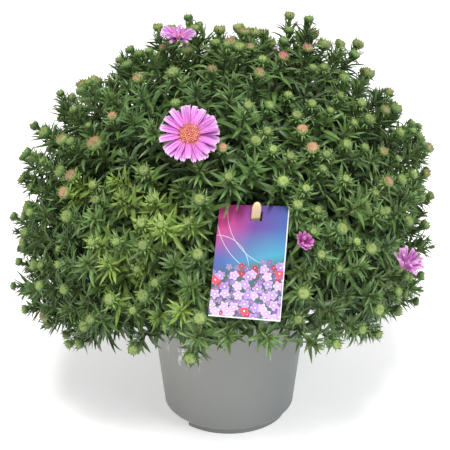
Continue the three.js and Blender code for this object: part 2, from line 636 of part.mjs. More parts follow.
add("pot", potSolid(), GREY);
add("compost", compostSolid(roots), BROWN);
add("card", cardBlock(CARD_THICKNESS / 2, CARD_THICKNESS / 2, 0).subtract(stickSolid(STICK_GAP)), PRINT);
add("card_stick", stickSolid(0), PALE_WOOD);

export default plant;
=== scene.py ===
import math

import bmesh
import bpy
import numpy as np
from mathutils import Matrix, Vector, noise


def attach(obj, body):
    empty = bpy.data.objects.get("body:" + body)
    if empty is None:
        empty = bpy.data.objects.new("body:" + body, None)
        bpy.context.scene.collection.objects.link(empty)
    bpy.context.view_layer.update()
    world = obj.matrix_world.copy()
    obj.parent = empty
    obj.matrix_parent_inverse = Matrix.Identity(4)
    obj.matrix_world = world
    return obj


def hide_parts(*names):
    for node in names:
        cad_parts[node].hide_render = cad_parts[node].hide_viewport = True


# A bushy aster in a grey nursery pot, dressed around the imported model. The plant is worked out in
# millimetres, as a dome of leafy stems round one centre, and turned into metres when a mesh is made.

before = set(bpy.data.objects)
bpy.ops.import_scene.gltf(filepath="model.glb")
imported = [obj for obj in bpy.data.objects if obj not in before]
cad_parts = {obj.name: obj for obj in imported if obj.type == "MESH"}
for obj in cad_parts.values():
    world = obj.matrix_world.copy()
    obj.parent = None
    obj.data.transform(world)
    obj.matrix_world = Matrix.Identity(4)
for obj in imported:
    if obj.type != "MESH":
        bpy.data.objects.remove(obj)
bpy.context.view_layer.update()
metres = 0.001
fullTurn = 2 * math.pi
anyTurn = 6.28   # a turn in radians, multiplied by a random draw
print("frame loaded with", len(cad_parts), "nodes")


# Camera, at the photograph's angle. It comes first because some buds are placed by the photograph's pixels.
camera = {
    "place": Vector((0.0, -1034.0, 609.0)),
    "lookDown": 23.3,
    "imageSide": 450,
    "focalPixels": 1430.0,
    "centrePixel": (229.0, 223.5),
    "sensor": 36.0,
    "nearest": 0.05,   # metres
}


def makeCamera():
    data = bpy.data.cameras.new("camera")
    data.sensor_width = camera["sensor"]
    data.lens = camera["sensor"] * camera["focalPixels"] / camera["imageSide"]
    data.shift_x = 0.5 - camera["centrePixel"][0] / camera["imageSide"]
    data.shift_y = camera["centrePixel"][1] / camera["imageSide"] - 0.5
    data.clip_start = camera["nearest"]
    obj = bpy.data.objects.new("camera", data)
    obj.location = camera["place"] * metres
    obj.rotation_euler = (math.radians(90 - camera["lookDown"]), 0, 0)
    bpy.context.scene.collection.objects.link(obj)
    bpy.context.scene.camera = obj


makeCamera()


# Small helpers
def drawFrom(seed):
    state = seed & 0xFFFFFFFF

    def draw():  # the same numbers as the CAD source draws
        nonlocal state
        state = (state + 0x6D2B79F5) & 0xFFFFFFFF
        t = ((state ^ (state >> 15)) * (1 | state)) & 0xFFFFFFFF
        t = ((t + (t ^ (t >> 7)) * (61 | t)) ^ t) & 0xFFFFFFFF
        return ((t ^ (t >> 14)) & 0xFFFFFFFF) / 4294967296

    return draw


def play(draw, least, more):  # a random value from the least one upwards
    return least + more * draw()


def direction(polar, azimuth):
    p, a = math.radians(polar), math.radians(azimuth)
    return Vector((math.sin(p) * math.cos(a), math.sin(p) * math.sin(a), math.cos(p)))


def swung(axis, angle, turn):  # the direction at an angle from an axis, round it; both in radians
    aside = Vector((0, 0, 1)) if abs(axis.z) < 0.9 else Vector((1, 0, 0))
    first = aside.cross(axis).normalized()
    second = axis.cross(first)
    sideways = first * math.cos(turn) + second * math.sin(turn)
    return axis * math.cos(angle) + sideways * math.sin(angle)


def polarOf(aim):
    return math.degrees(math.acos(max(-1, min(1, aim.z))))


def azimuthOf(aim):
    return math.degrees(math.atan2(aim.y, aim.x))


def degreesPast(angle, start):  # from one azimuth to another, from -180 to 180
    return (angle - start + 180) % 360 - 180


def placed(across, along, up, place):  # the matrix that turns a shape's own axes to these, at a place
    matrix = Matrix((across, along, up)).transposed().to_4x4()
    matrix.translation = place
    return matrix


# The dome: the same reach, bulges and hem as the solids
dome = {
    "centre": Vector((0.4, -1.6, 120)),
    "reach": [195, 200, 199, 189, 177, 168, 161, 144],
    "step": 15,
    "bulges": [(49, -172, 13, 0.06), (40, 0, 15, 0.03), (70, -11, 11, -0.11), (92, -28, 17, -0.18),
               (30, 60, 20, -0.03), (95, 180, 20, -0.045), (88, -158, 12, 0.04), (20, 32, 10, 0.06),
               (34, 166, 9, -0.07), (101, -142, 11, -0.1), (57, -4, 7, 0.05), (84, -92, 18, 0.025)],
    "hem": 97,
    "hemRise": 18,
    "hemRiseAzimuth": -78,
    "hemRiseWidth": 38,
    "lowestLeaf": 82,   # and the leaves hang less low over the pot's front
    "leafRise": 22,
    "leafRiseAzimuth": -110,
    "leafRiseWidth": 34,
}


def reachOf(aim):
    place = polarOf(aim) / dome["step"]
    row = min(len(dome["reach"]) - 2, int(place))
    reach = dome["reach"][row] * (row + 1 - place) + dome["reach"][row + 1] * (place - row)
    for polar, azimuth, width, share in dome["bulges"]:
        away = math.degrees(aim.angle(direction(polar, azimuth))) / width
        reach *= 1 + share * math.exp(-away * away)
    return reach


def hemOf(aim):
    away = math.degrees(aim.angle(direction(90, dome["hemRiseAzimuth"]))) / dome["hemRiseWidth"]
    return dome["hem"] - dome["hemRise"] * math.exp(-away * away)


def domePoint(aim, reach):
    return dome["centre"] + aim * reach


# The card and its stick
card = {
    "width": 50, "height": 80, "thickness": 0.8,
    "foot": Vector((10.4, -157, 160)),
    "lean": 35, "twist": 7, "roll": 1.5, "turn": -6.8,
    "slotPlace": (0.03, 0.905),
    "air": 1.2,
    # leaves hang over the upper left corner: between these shares of the width, above this one, this far out
    "leafyCorner": (-0.55, -0.1, 0.84, 2.5),
}
stick = {"width": 7, "thickness": 1.8, "foot": Vector((10, -37, 84)), "pastCard": 15.5, "air": 0.9}


def cardPoint(across, up, out):
    lean = math.radians(card["lean"] - card["twist"] * across)
    roll = math.radians(card["roll"])
    x = across * card["width"] * math.cos(roll) + up * card["height"] * math.sin(roll)
    rise = up * card["height"] * math.cos(roll) - across * card["width"] * math.sin(roll)
    back = rise * math.sin(lean) - out * math.cos(lean)
    high = rise * math.cos(lean) + out * math.sin(lean)
    return Matrix.Rotation(math.radians(card["turn"]), 3, "Z") @ Vector((x, back, high)) + card["foot"]


slot = cardPoint(*card["slotPlace"], 0)
stickAlong = (slot - stick["foot"]).normalized()
stickLength = (slot - stick["foot"]).length + stick["pastCard"]
cardRight = (cardPoint(0.5, 0.5, 0) - cardPoint(-0.5, 0.5, 0)).normalized()
cardUp = (cardPoint(0, 1, 0) - cardPoint(0, 0, 0)).normalized()
cardOut = cardRight.cross(cardUp)

# Blooms: polar and azimuth on the dome, how far out, rays, their length and cup, where the face looks, disc,
# and how many fine rays are shown, with their width
blooms = {
    "front": {"polar": 37, "azimuth": -103, "out": 6, "rays": 18, "length": 14.6, "cup": 6, "lift": 42,
              "turn": -94, "disc": 7.8, "fine": 31, "width": 4.9},
    "top": {"polar": 12, "azimuth": -153, "out": 4, "rays": 10, "length": 11.5, "cup": 20, "lift": 84,
            "turn": -50, "disc": 4, "fine": 26, "width": 2.5},
    "right": {"polar": 72, "azimuth": -38, "out": 2, "rays": 9, "length": 14, "cup": 52, "lift": 56,
              "turn": -35, "disc": 0, "fine": 30, "width": 2.1, "spread": 26, "tint": (1.0, 0.9, 0.98)},
    "opening": {"polar": 59, "azimuth": -72, "out": 0, "rays": 7, "length": 10, "cup": 68, "lift": 34,
                "turn": -62, "disc": 0, "fine": 22, "width": 2.2, "spread": 8, "tint": (1.0, 0.62, 0.86)},
    "back": {"polar": 44, "azimuth": 72, "out": 5, "rays": 13, "length": 15.5, "cup": 10, "lift": 50,
             "turn": 75, "disc": 6, "fine": 27, "width": 4.3},
}
bush = {
    "stems": 20, "goldenAngle": math.radians(137.508), "aboveHem": 11, "eveningRounds": 150,
    "eveningPush": 0.0015, "leastHub": 2.6, "hubInDisc": 0.6,
    # the shoots that the solids have too; a pair of numbers is a least value and how much is added at random
    "shootsAround": 4, "shootSpread": 12.3, "spreadPlay": (0.88, 0.24), "turnPlay": 0.2, "leadLean": 2,
    "lowStem": 75, "downwardPair": -135, "pairSwing": 20, "tipLevel": (0.945, 0.045), "deepest": 0.8,
    "sinkStep": 0.03, "pullIn": 0.1, "budRadius": 4.6, "budPlay": (0.9, 0.2),
    # air kept to other things, in mm
    "neighbourGap": 0.6, "budAir": 1, "rimAir": 1.3, "bloomAir": 2, "tipAir": 2,
    "rimRadius": 65, "rimTop": 110,
    # the main stems' way out of the compost
    "compostTop": 98, "rootedDepth": 13, "rootSpread": 46, "rootPower": 0.8, "bendHeights": (-5, 2),
    "leaderLevels": (0.41, 0.56),
}


def placeStems():
    stems = []
    for i in range(bush["stems"]):
        polar = math.acos(1 - (i + 0.5) / bush["stems"])
        stems.append(direction(math.degrees(polar), math.degrees(i * bush["goldenAngle"])))
    for bloom in blooms.values():  # a stem that carries a bloom points at it
        aim = direction(bloom["polar"], bloom["azimuth"])
        bloom["stem"] = max(range(len(stems)), key=lambda i: stems[i].dot(aim))
        stems[bloom["stem"]] = aim
        bloom["centre"] = domePoint(aim, reachOf(aim) + bloom["out"])
        bloom["facing"] = direction(90 - bloom["lift"], bloom["turn"])
        bloom["hub"] = max(bush["leastHub"], bloom["disc"] - bush["hubInDisc"])
    taken = [bloom["stem"] for bloom in blooms.values()]
    for _ in range(bush["eveningRounds"]):  # the others are pushed apart until they are evenly spaced
        for own in range(len(stems)):
            if own in taken:
                continue
            push = Vector((0, 0, 0))
            for other in range(len(stems)):
                if other != own:
                    apart = stems[own] - stems[other]
                    push += apart * apart.length ** -5
            stems[own] = (stems[own] + push * bush["eveningPush"]).normalized()
            lowest = hemOf(stems[own]) - bush["aboveHem"]
            if polarOf(stems[own]) > lowest:
                stems[own] = direction(lowest, azimuthOf(stems[own]))
    return stems, taken


stems, bloomStems = placeStems()


def roomInShare(point, own):
    offset = point - dome["centre"]
    return min(offset.dot((stems[own] - axis).normalized()) for i, axis in enumerate(stems) if i != own)


def nearestStem(aim):
    return max(range(len(stems)), key=lambda i: stems[i].dot(aim))


def inTheWay(point, tipAir=bush["tipAir"]):  # of the card, the stick, the rim or the face of a bloom
    toCard = point - card["foot"]
    up = toCard.dot(cardUp)
    past = card["air"] + tipAir
    aside = abs(toCard.dot(cardRight)) > card["width"] / 2 + past
    aboveOrBelow = up < -past or up > card["height"] + past
    if not aside and not aboveOrBelow and toCard.dot(cardOut) > -2 * tipAir:
        return True
    toStick = point - stick["foot"]
    fromStick = (toStick - stickAlong * toStick.dot(stickAlong)).length
    if fromStick < stick["width"] / 2 + stick["air"] + tipAir / 2:
        return True
    rimPast = bush["rimAir"] + tipAir
    if math.hypot(point.x, point.y) < bush["rimRadius"] + rimPast and point.z < bush["rimTop"] + rimPast:
        return True
    for bloom in blooms.values():
        offset = point - bloom["centre"]
        high = offset.dot(bloom["facing"])
        wide = (offset - bloom["facing"] * high).length
        face = bloom["hub"] + bloom["length"] * math.cos(math.radians(bloom["cup"]))
        if high > -tipAir and wide < face + bush["bloomAir"] + tipAir / 2:
            return True
    return False


def overCorner(point):
    toCard = point - card["foot"]
    across, up = toCard.dot(cardRight) / card["width"], toCard.dot(cardUp) / card["height"]
    left, right, above, out = card["leafyCorner"]
    return left < across < right and up > above and toCard.dot(cardOut) > out


def topOf(shoot):  # the middle of the bud at its end
    return domePoint(shoot["aim"], reachOf(shoot["aim"]) * shoot["level"] + shoot["bud"])


def mainShoots(own):
    draw = drawFrom(101 + own)
    if polarOf(stems[own]) > bush["lowStem"]:
        start = math.radians(bush["downwardPair"] + bush["pairSwing"] * (draw() - 0.5))
    else:
        start = draw() * fullTurn
    aims = [] if own in bloomStems else [swung(stems[own], math.radians(bush["leadLean"]), start)]
    for i in range(bush["shootsAround"]):
        turn = start + (i + bush["turnPlay"] * draw()) * fullTurn / bush["shootsAround"]
        spread = math.radians(bush["shootSpread"] * play(draw, *bush["spreadPlay"]))
        aims.append(swung(stems[own], spread, turn))
    shoots = []
    for aim in aims:
        level = play(draw, *bush["tipLevel"])
        size = bush["budRadius"] * play(draw, *bush["budPlay"])
        shoots.append({"own": own, "aim": aim, "level": level, "bud": size, "kind": "green"})
    kept = []
    for shoot in shoots:
        if polarOf(shoot["aim"]) > bush["lowStem"]:
            shoot["level"] -= shortening(shoot["aim"])
        needed = shoot["bud"] + bush["neighbourGap"] + bush["budAir"]
        while roomInShare(topOf(shoot), own) < needed:
            shoot["aim"] = shoot["aim"].lerp(stems[own], bush["pullIn"]).normalized()
        while shoot["level"] > bush["deepest"] and inTheWay(topOf(shoot)):
            shoot["level"] -= bush["sinkStep"]
        if not inTheWay(topOf(shoot)):
            kept.append(shoot)
    return kept


# Buds that the photograph shows plainly, by its pixels: coral or pink at the tip, or green
budSpots = {
    "coral": [(158, 29), (164, 51), (187, 54), (140, 82), (113, 119), (64, 142), (90, 160), (74, 179),
              (68, 194), (222, 150), (47, 316), (230, 47), (258, 77), (302, 133), (312, 151), (383, 113),
              (381, 153), (391, 91), (432, 171), (386, 184), (338, 47), (366, 77), (250, 50), (430, 147),
              (212, 73)],
    "pink": [(28, 238), (282, 60), (307, 52)],
    "green": [(229, 193), (189, 21), (311, 22), (366, 52), (272, 151), (321, 171), (266, 133), (374, 194),
              (39, 124), (16, 218), (16, 286), (98, 202), (86, 318), (129, 313), (95, 346), (28, 309),
              (193, 260), (320, 255), (317, 212), (376, 242), (409, 227), (304, 284), (338, 269), (138, 269),
              (156, 284), (152, 201), (125, 70), (140, 57), (175, 73), (262, 63), (323, 70), (362, 53),
              (360, 106), (340, 98), (352, 125), (329, 113), (311, 106), (297, 118), (290, 158), (326, 156),
              (344, 160), (363, 150), (396, 160), (413, 130), (386, 212), (355, 243), (345, 180), (305, 190),
              (255, 190), (229, 178)],
}
# How a pixel's line of sight is followed into the dome: from where, in what steps, in mm, and to what level
sight = {"from": 900, "step": 3, "steps": 160, "level": 0.97}
thicket = {
    "tries": 6000,              # places tried for shoots beside the solids' and the buds above
    "lowestZ": 1.2,             # one less this is the lowest height tried, as a share of the reach
    "apart": 4.9,               # the least angle between two shoots, in degrees
    "spotApart": 3.2,           # and round a bud of the photograph
    "budShare": (0.58, 0.34),   # how many of the tried ones end in a bud, at the top and at the hem
    "coralBehind": (0.2, 0.2),  # behind this share of depth, how many buds are coral
    "level": (0.925, 0.115),    # where a shoot ends, as a share of the reach: the least, and how much more
    "levelPower": 0.7,
    "budPlay": (0.58, 0.3),     # the buds' sizes, as a share of the solids' ones
    "clearAt": (1, 0.93, 0.86, 0.8),   # shares of its length where a shoot is clear of the card and the rest
    "shootAir": 1,
    "rootLevel": 0.6,           # where a shoot leaves its stem's twigs, as a share of the reach
    "pathLean": 0.75,           # how far that place lies from the stem's own aim towards the shoot's
    "lift": 0.16,               # how much shoots turn up to the light
    "sway": 0.18,
    "yellowPatch": (62, -112, 24),   # polar, azimuth and width of the pale patch, in degrees
    "belowHem": 4,
    # where the shoots are shorter than elsewhere: polar, azimuth and width in degrees, and by how much
    "shorter": [(90, -113, 15, 0.1), (80, -18, 18, 0.06), (68, -6, 12, 0.05), (45, -172, 8, 0.05),
                (28, 155, 7, 0.04), (43, 2, 6, 0.03)],
    "frontRise": (15, -116, 22),     # how much higher the hem is over the pot's front, where, and how wide
    "largeBuds": {"coral": 1.3, "pink": 1.45},
}


def shortening(aim):
    return sum(cut * math.exp(-(math.degrees(aim.angle(direction(polar, azimuth))) / width) ** 2)
               for polar, azimuth, width, cut in thicket["shorter"])


def domeUnderPixel(px, py):  # the direction and level of the shoot tip that a pixel of the photograph shows
    look = math.radians(camera["lookDown"])
    ahead, up = Vector((0, math.cos(look), -math.sin(look))), Vector((0, math.sin(look), math.cos(look)))
    across = (px - camera["centrePixel"][0]) / camera["focalPixels"]
    above = (camera["centrePixel"][1] - py) / camera["focalPixels"]
    ray = (ahead + Vector((1, 0, 0)) * across + up * above).normalized()
    best, bestGap = None, math.inf
    for i in range(sight["steps"]):
        offset = camera["place"] + ray * (sight["from"] + sight["step"] * i) - dome["centre"]
        gap = offset.length - sight["level"] * reachOf(offset.normalized())
        if gap < bestGap:
            best, bestGap = offset.normalized(), gap
        if gap < 0:
            break
    return best, sight["level"] + bestGap / reachOf(best)


def lowestPolar(aim):
    rise, middle, width = thicket["frontRise"]
    away = (azimuthOf(aim) - middle) / width
    return hemOf(aim) + thicket["belowHem"] - rise * math.exp(-away * away)


def addShoot(shoots, draw, aim, kind, apart, level=None):
    crowded = [s for s in shoots if s["aim"].dot(aim) > math.cos(math.radians(apart))]
    if crowded and kind in ("coral", "pink"):
        crowded[0]["kind"] = kind
    if crowded or polarOf(aim) > lowestPolar(aim):
        return
    if level is None:
        least, more = thicket["level"]
        level = least + more * draw() ** thicket["levelPower"]
    level -= shortening(aim)
    size = bush["budRadius"] * play(draw, *thicket["budPlay"])
    way = [domePoint(aim, reachOf(aim) * level * share) for share in thicket["clearAt"]]
    if not any(inTheWay(point, thicket["shootAir"]) for point in way):
        shoots.append({"own": nearestStem(aim), "aim": aim, "level": level, "bud": size, "kind": kind})


def allShoots():
    shoots = [shoot for own in range(len(stems)) for shoot in mainShoots(own)]
    draw = drawFrom(77)
    for kind, spots in budSpots.items():
        for spot in spots:
            aim, level = domeUnderPixel(*spot)
            addShoot(shoots, draw, aim, kind, thicket["spotApart"], level)
    for _ in range(thicket["tries"]):
        polar = math.degrees(math.acos(1 - thicket["lowestZ"] * draw()))
        aim = direction(polar, 360 * draw())
        high, low = thicket["budShare"]
        kind = "green" if draw() < high + (low - high) * polar / dome["hem"] else "leafy"
        behind, share = thicket["coralBehind"]
        if kind == "green" and aim.y > behind and draw() < share:
            kind = "coral"
        addShoot(shoots, draw, aim, kind, thicket["apart"])
    return shoots


shoots = allShoots()
kinds = [shoot["kind"] for shoot in shoots]
print("shoots:", len(shoots), {kind: kinds.count(kind) for kind in ("green", "coral", "pink", "leafy")})


# Shapes that are repeated: made once with mesh operators, then copied. Each vertex keeps a pair of pattern
# coordinates: across or round the shape, and along it.
def shapeOf(bm, uv):
    bm.verts.index_update()
    co = np.array([v.co[:] for v in bm.verts])
    faces = [[v.index for v in f.verts] for f in bm.faces]
    bm.free()
    return {"co": co, "faces": faces, "uv": np.array(uv)}


def plainPattern(bm):
    return [(0.5, 0.5) for _ in bm.verts]


def bent(along, bend):  # how far out and down a point lies along a strip that bends down in an arc
    if abs(bend) < 1e-3:
        return along, 0
    return math.sin(bend * along) / bend, (1 - math.cos(bend * along)) / bend


leafForm = {
    "slim": 8,   # a grown leaf's length over its width, which its fold and twist are drawn for
    "foot": 0.3, "belly": 0.9, "bellyPlace": 0.8, "bellyRound": 0.9,   # its outline, in half widths
    "upperRise": 0.01, "lowerDrop": 0.022,   # its thickness above and below the fold, in lengths
}


def leafShape(bend, twist, fold, sides=4, cuts=3):  # length 1, half width 0.5, upper face to +Z
    form = leafForm
    slim = form["slim"]
    bm = bmesh.new()
    bmesh.ops.create_cone(bm, cap_ends=True, segments=sides, radius1=1, radius2=1, depth=1,
                          matrix=Matrix.Rotation(math.radians(-90), 4, "X"))
    bmesh.ops.translate(bm, verts=bm.verts, vec=(0, 0.5, 0))
    long = [e for e in bm.edges if abs(e.verts[0].co.y - e.verts[1].co.y) > 0.5]
    bmesh.ops.subdivide_edges(bm, edges=long, cuts=cuts, use_grid_fill=True)
    tip = [v for v in bm.verts if v.co.y > 0.999]
    bmesh.ops.pointmerge(bm, verts=tip, merge_co=(0, 1, 0))
    uv = []
    for v in bm.verts:
        side, along, up = v.co.x, max(0, min(1, v.co.y)), v.co.z
        belly = form["belly"] * math.sin(math.pi * along ** form["bellyPlace"]) ** form["bellyRound"]
        x = side * 0.5 * (form["foot"] * (1 - along) + belly)
        thick = form["upperRise"] if up > 0 else -form["lowerDrop"]
        z = fold * abs(x) / slim + thick * (abs(up) > 0.4) * (1 - along)
        turn = twist * along
        x, z = (x * math.cos(turn) - z * math.sin(turn) * slim,
                x * math.sin(turn) / slim + z * math.cos(turn))
        out, down = bent(along, bend)
        v.co = (x, out + z * math.sin(bend * along), z * math.cos(bend * along) - down)
        uv.append((0.5 + 0.5 * side, along))
    bmesh.ops.recalc_face_normals(bm, faces=bm.faces)
    return shapeOf(bm, uv)


budForm = {
    "meridians": 10, "rings": 7, "flatTop": 0.62, "under": 0.95, "dimple": 0.26, "dimpleWide": 0.62,
    "lobes": 5, "lobeDepth": 0.09, "patternTop": 0.66,
}


def budShape():  # a flat-topped globe of radius 1, with a shallow dimple in the middle of its top
    form = budForm
    bm = bmesh.new()
    bmesh.ops.create_uvsphere(bm, u_segments=form["meridians"], v_segments=form["rings"], radius=1)
    uv = []
    for v in bm.verts:
        if v.co.z > 0:
            dimple = form["dimple"] * max(0, 1 - v.co.xy.length / form["dimpleWide"])
            v.co.z = v.co.z * form["flatTop"] - dimple
        else:
            v.co.z *= form["under"]
        around = math.atan2(v.co.y, v.co.x)
        lobe = 1 + form["lobeDepth"] * math.cos(form["lobes"] * around)
        v.co.x, v.co.y = v.co.x * lobe, v.co.y * lobe
        rise = v.co.z / form["patternTop"] if v.co.z > 0 else v.co.z
        uv.append((0.5 + around / fullTurn, 0.5 + 0.5 * rise))
    return shapeOf(bm, uv)


leafKinds = [leafShape(bend, twist, fold) for bend, twist, fold in (
    (0.2, 0.2, 0.9), (0.5, -0.3, 0.7), (0.9, 0.25, 0.9), (1.3, -0.2, 0.8), (-0.25, 0.3, 0.9),
    (0.05, -0.35, 1.0), (0.7, 0.5, 0.6), (1.0, -0.5, 0.9))]
youngKinds = [leafShape(bend, twist, 0.6, sides=3, cuts=2) for bend, twist in (
    (-0.4, 0.2), (0.1, -0.3), (0.5, 0.3), (0.9, -0.2), (-0.1, 0.4))]
bud = budShape()
print("leaf faces:", len(leafKinds[0]["faces"]), "young leaf faces:", len(youngKinds[0]["faces"]))


# A pile gathers copies of shapes and becomes one object; each copy's tone is one colour, or one a vertex
def newPile():
    return {"co": [], "faces": [], "uv": [], "tone": [], "finish": [], "count": 0}


def addCopy(pile, shape, matrix, tone, finish=0):
    co = shape["co"] @ np.array(matrix.to_3x3()).T + np.array(matrix.translation)
    pile["co"].append(co)
    pile["faces"].extend([[i + pile["count"] for i in face] for face in shape["faces"]])
    pile["uv"].append(shape["uv"])
    pile["tone"].append(np.tile(tone, (len(co), 1)) if np.ndim(tone) == 1 else tone)
    pile["finish"].extend([finish] * len(shape["faces"]))
    pile["count"] += len(co)


def showObject(name, mesh):
    obj = bpy.data.objects.new(name, mesh)
    bpy.context.scene.collection.objects.link(obj)
    return obj


def finishPile(pile, name, materials, sharpAngle):
    co = np.concatenate(pile["co"]) * metres
    mesh = bpy.data.meshes.new(name)
    mesh.from_pydata(co.tolist(), [], pile["faces"])
    loops = np.zeros(len(mesh.loops), np.int32)
    mesh.loops.foreach_get("vertex_index", loops)
    uv = mesh.uv_layers.new(name="pattern")
    uv.data.foreach_set("uv", np.concatenate(pile["uv"])[loops].astype(np.float32).ravel())
    tone = mesh.attributes.new("tone", "FLOAT_COLOR", "POINT")
    values = np.ones((len(co), 4), np.float32)
    values[:, :3] = np.concatenate(pile["tone"])
    tone.data.foreach_set("color", values.ravel())
    mesh.polygons.foreach_set("material_index", np.array(pile["finish"], np.int32))
    mesh.polygons.foreach_set("use_smooth", np.ones(len(mesh.polygons), bool))
    mesh.set_sharp_from_angle(angle=math.radians(sharpAngle))
    for material in materials:
        mesh.materials.append(material)
    mesh.update()
    return showObject(name, mesh)


def dress(obj, slotName, *nodes):
    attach(obj, "root")
    if nodes:
        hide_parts(*nodes)


# Materials
def newMaterial(name, roughness, **sockets):
    material = bpy.data.materials.new(name)
    material.use_nodes = True
    tree = material.node_tree
    shader = tree.nodes["Principled BSDF"]
    shader.inputs["Roughness"].default_value = roughness
    for socket, value in sockets.items():
        shader.inputs[socket.replace("_", " ")].default_value = value
    return material, tree, shader


def node(tree, kind, settings=(), **inputs):
    made = tree.nodes.new(kind)
    for key, value in dict(settings).items():
        setattr(made, key, value)
    for key, value in inputs.items():
        socket = made.inputs[int(key[1:])] if key[0] == "i" and key[1:].isdigit() else made.inputs[key]
        if isinstance(value, bpy.types.NodeSocket):
            tree.links.new(value, socket)
        else:
            socket.default_value = value
    return made


def patternPlace(tree):  # the pattern coordinates: across or round the shape, and along it
    uv = node(tree, "ShaderNodeUVMap", {"uv_map": "pattern"})
    place = node(tree, "ShaderNodeSeparateXYZ", i0=uv.outputs[0])
    return place.outputs[0], place.outputs[1]


def toneColour(tree):
    return node(tree, "ShaderNodeAttribute", {"attribute_name": "tone"}).outputs["Color"]


def channels(tree, colour):
    parts = node(tree, "ShaderNodeSeparateColor", i0=colour)
    return parts.outputs[0], parts.outputs[1], parts.outputs[2]


def mapped(tree, value, low, high):  # from 0 at the low value to 1 at the high one
    return node(tree, "ShaderNodeMapRange", i0=value, i1=low, i2=high).outputs[0]


def mixColour(tree, factor, first, second, blend="MIX"):
    made = tree.nodes.new("ShaderNodeMix")
    made.data_type = "RGBA"
    made.blend_type = blend
    for index, value in ((0, factor), (6, first), (7, second)):
        if isinstance(value, bpy.types.NodeSocket):
            tree.links.new(value, made.inputs[index])
        else:
            made.inputs[index].default_value = value if index == 0 else (*value, 1)
    return made.outputs[2]


def maths(tree, operation, first, second=0.0, third=0.0):
    made = tree.nodes.new("ShaderNodeMath")
    made.operation = operation
    for index, value in enumerate((first, second, third)):
        if isinstance(value, bpy.types.NodeSocket):
            tree.links.new(value, made.inputs[index])
        else:
            made.inputs[index].default_value = value
    return made.outputs[0]


def shaded(tree, colour, grey):
    return mixColour(tree, 1.0, colour, grey, "MULTIPLY")


def scaled(tree, value, amount, base):  # the value times an amount, on a base
    return maths(tree, "MULTIPLY_ADD", value, amount, base)


def ramp(tree, factor, stops):
    stops = list(stops)
    made = node(tree, "ShaderNodeValToRGB", i0=factor)
    while len(made.color_ramp.elements) < len(stops):
        made.color_ramp.elements.new(0.5)
    for element, (place, colour) in zip(made.color_ramp.elements, stops):
        element.position = place
        element.color = (*colour, 1)
    return made.outputs[0]


def noiseOn(tree, vector, scale, detail=4):
    return node(tree, "ShaderNodeTexNoise", Vector=vector, Scale=scale, Detail=detail).outputs["Fac"]


def noiseAt(tree, scale, detail):  # on Object coordinates
    return noiseOn(tree, tree.nodes.new("ShaderNodeTexCoord").outputs["Object"], scale, detail)


def bumpBy(tree, shader, height, strength, distance):
    made = node(tree, "ShaderNodeBump", Strength=strength, Distance=distance)
    tree.links.new(height, made.inputs["Height"])
    tree.links.new(made.outputs["Normal"], shader.inputs["Normal"])


leafLook = {
    "dark": (0.008, 0.026, 0.006), "mid": (0.069, 0.146, 0.038), "young": (0.24, 0.36, 0.060),
    "rib": (0.17, 0.26, 0.09), "ribHalf": 0.055, "ribShare": 0.45,
    "blotchScale": 260, "blotches": (0.7, 0.65), "groove": 2.0, "bump": (0.35, 0.0006), "roughness": 0.48,
}


def leafMaterial():
    look = leafLook
    material, tree, shader = newMaterial("leafGreen", look["roughness"])
    age, shade, _ = channels(tree, toneColour(tree))
    across, _ = patternPlace(tree)
    blotches = noiseAt(tree, look["blotchScale"], 4)
    # painted shade: the tone's shade, darkened for grown leaves farther down a shoot, mixes the dark and mid
    # greens
    green = mixColour(tree, shade, look["dark"], look["mid"])
    green = mixColour(tree, age, green, look["young"])
    green = shaded(tree, green, scaled(tree, blotches, *look["blotches"]))
    fromRib = maths(tree, "ABSOLUTE", maths(tree, "SUBTRACT", across, 0.5))
    rib = maths(tree, "MULTIPLY", maths(tree, "LESS_THAN", fromRib, look["ribHalf"]), look["ribShare"])
    green = mixColour(tree, rib, green, look["rib"])
    tree.links.new(green, shader.inputs["Base Color"])
    relief = maths(tree, "ADD", blotches, maths(tree, "MULTIPLY", fromRib, look["groove"]))
    bumpBy(tree, shader, relief, *look["bump"])
    return material


twigLook = {
    "dark": (0.030, 0.042, 0.014), "light": (0.075, 0.090, 0.030), "between": (0.3, 0.7),
    "streakScale": 140, "bump": (0.5, 0.0005), "roughness": 0.7,
}


def twigMaterial():
    look = twigLook
    material, tree, shader = newMaterial("twigBark", look["roughness"])
    streaks = noiseAt(tree, look["streakScale"], 4)
    colour = ramp(tree, streaks, zip(look["between"], (look["dark"], look["light"])))
    tree.links.new(colour, shader.inputs["Base Color"])
    bumpBy(tree, shader, streaks, *look["bump"])
    return material


scaleLook = {
    "ribs": 14, "ribShade": (0.14, 0.92), "mottleScale": 500, "mottle": (0.5, 0.75), "bump": (0.6, 0.0008),
    "roughness": 0.6,
}


def budMaterial():  # the tone is the colour itself, and ribs run up the scales
    look = scaleLook
    material, tree, shader = newMaterial("budScales", look["roughness"])
    aroundBud, _ = patternPlace(tree)
    ribs = maths(tree, "SINE", maths(tree, "MULTIPLY", aroundBud, fullTurn * look["ribs"]))
    ribs = scaled(tree, ribs, *look["ribShade"])
    mottle = scaled(tree, noiseAt(tree, look["mottleScale"], 3), *look["mottle"])
    colour = shaded(tree, toneColour(tree), maths(tree, "MULTIPLY", ribs, mottle))
    tree.links.new(colour, shader.inputs["Base Color"])
    bumpBy(tree, shader, ribs, *look["bump"])
    return material


leafFinish, twigFinish, budFinish = leafMaterial(), twigMaterial(), budMaterial()


# Leafy stems
def leafMatrix(root, along, face, length, width):
    side = along.cross(face).normalized()
    up = side.cross(along).normalized()
    return placed(side * width, along * length, up * length, root)


def pathPoint(points, share):  # a point on a smooth path through four points, and the way that it runs
    a, b, c, d = points
    s = 1 - share
    place = a * s ** 3 + b * 3 * s * s * share + c * 3 * s * share * share + d * share ** 3
    runs = (b - a) * 3 * s * s + (c - b) * 6 * s * share + (d - c) * 3 * share * share
    return place, runs.normalized()


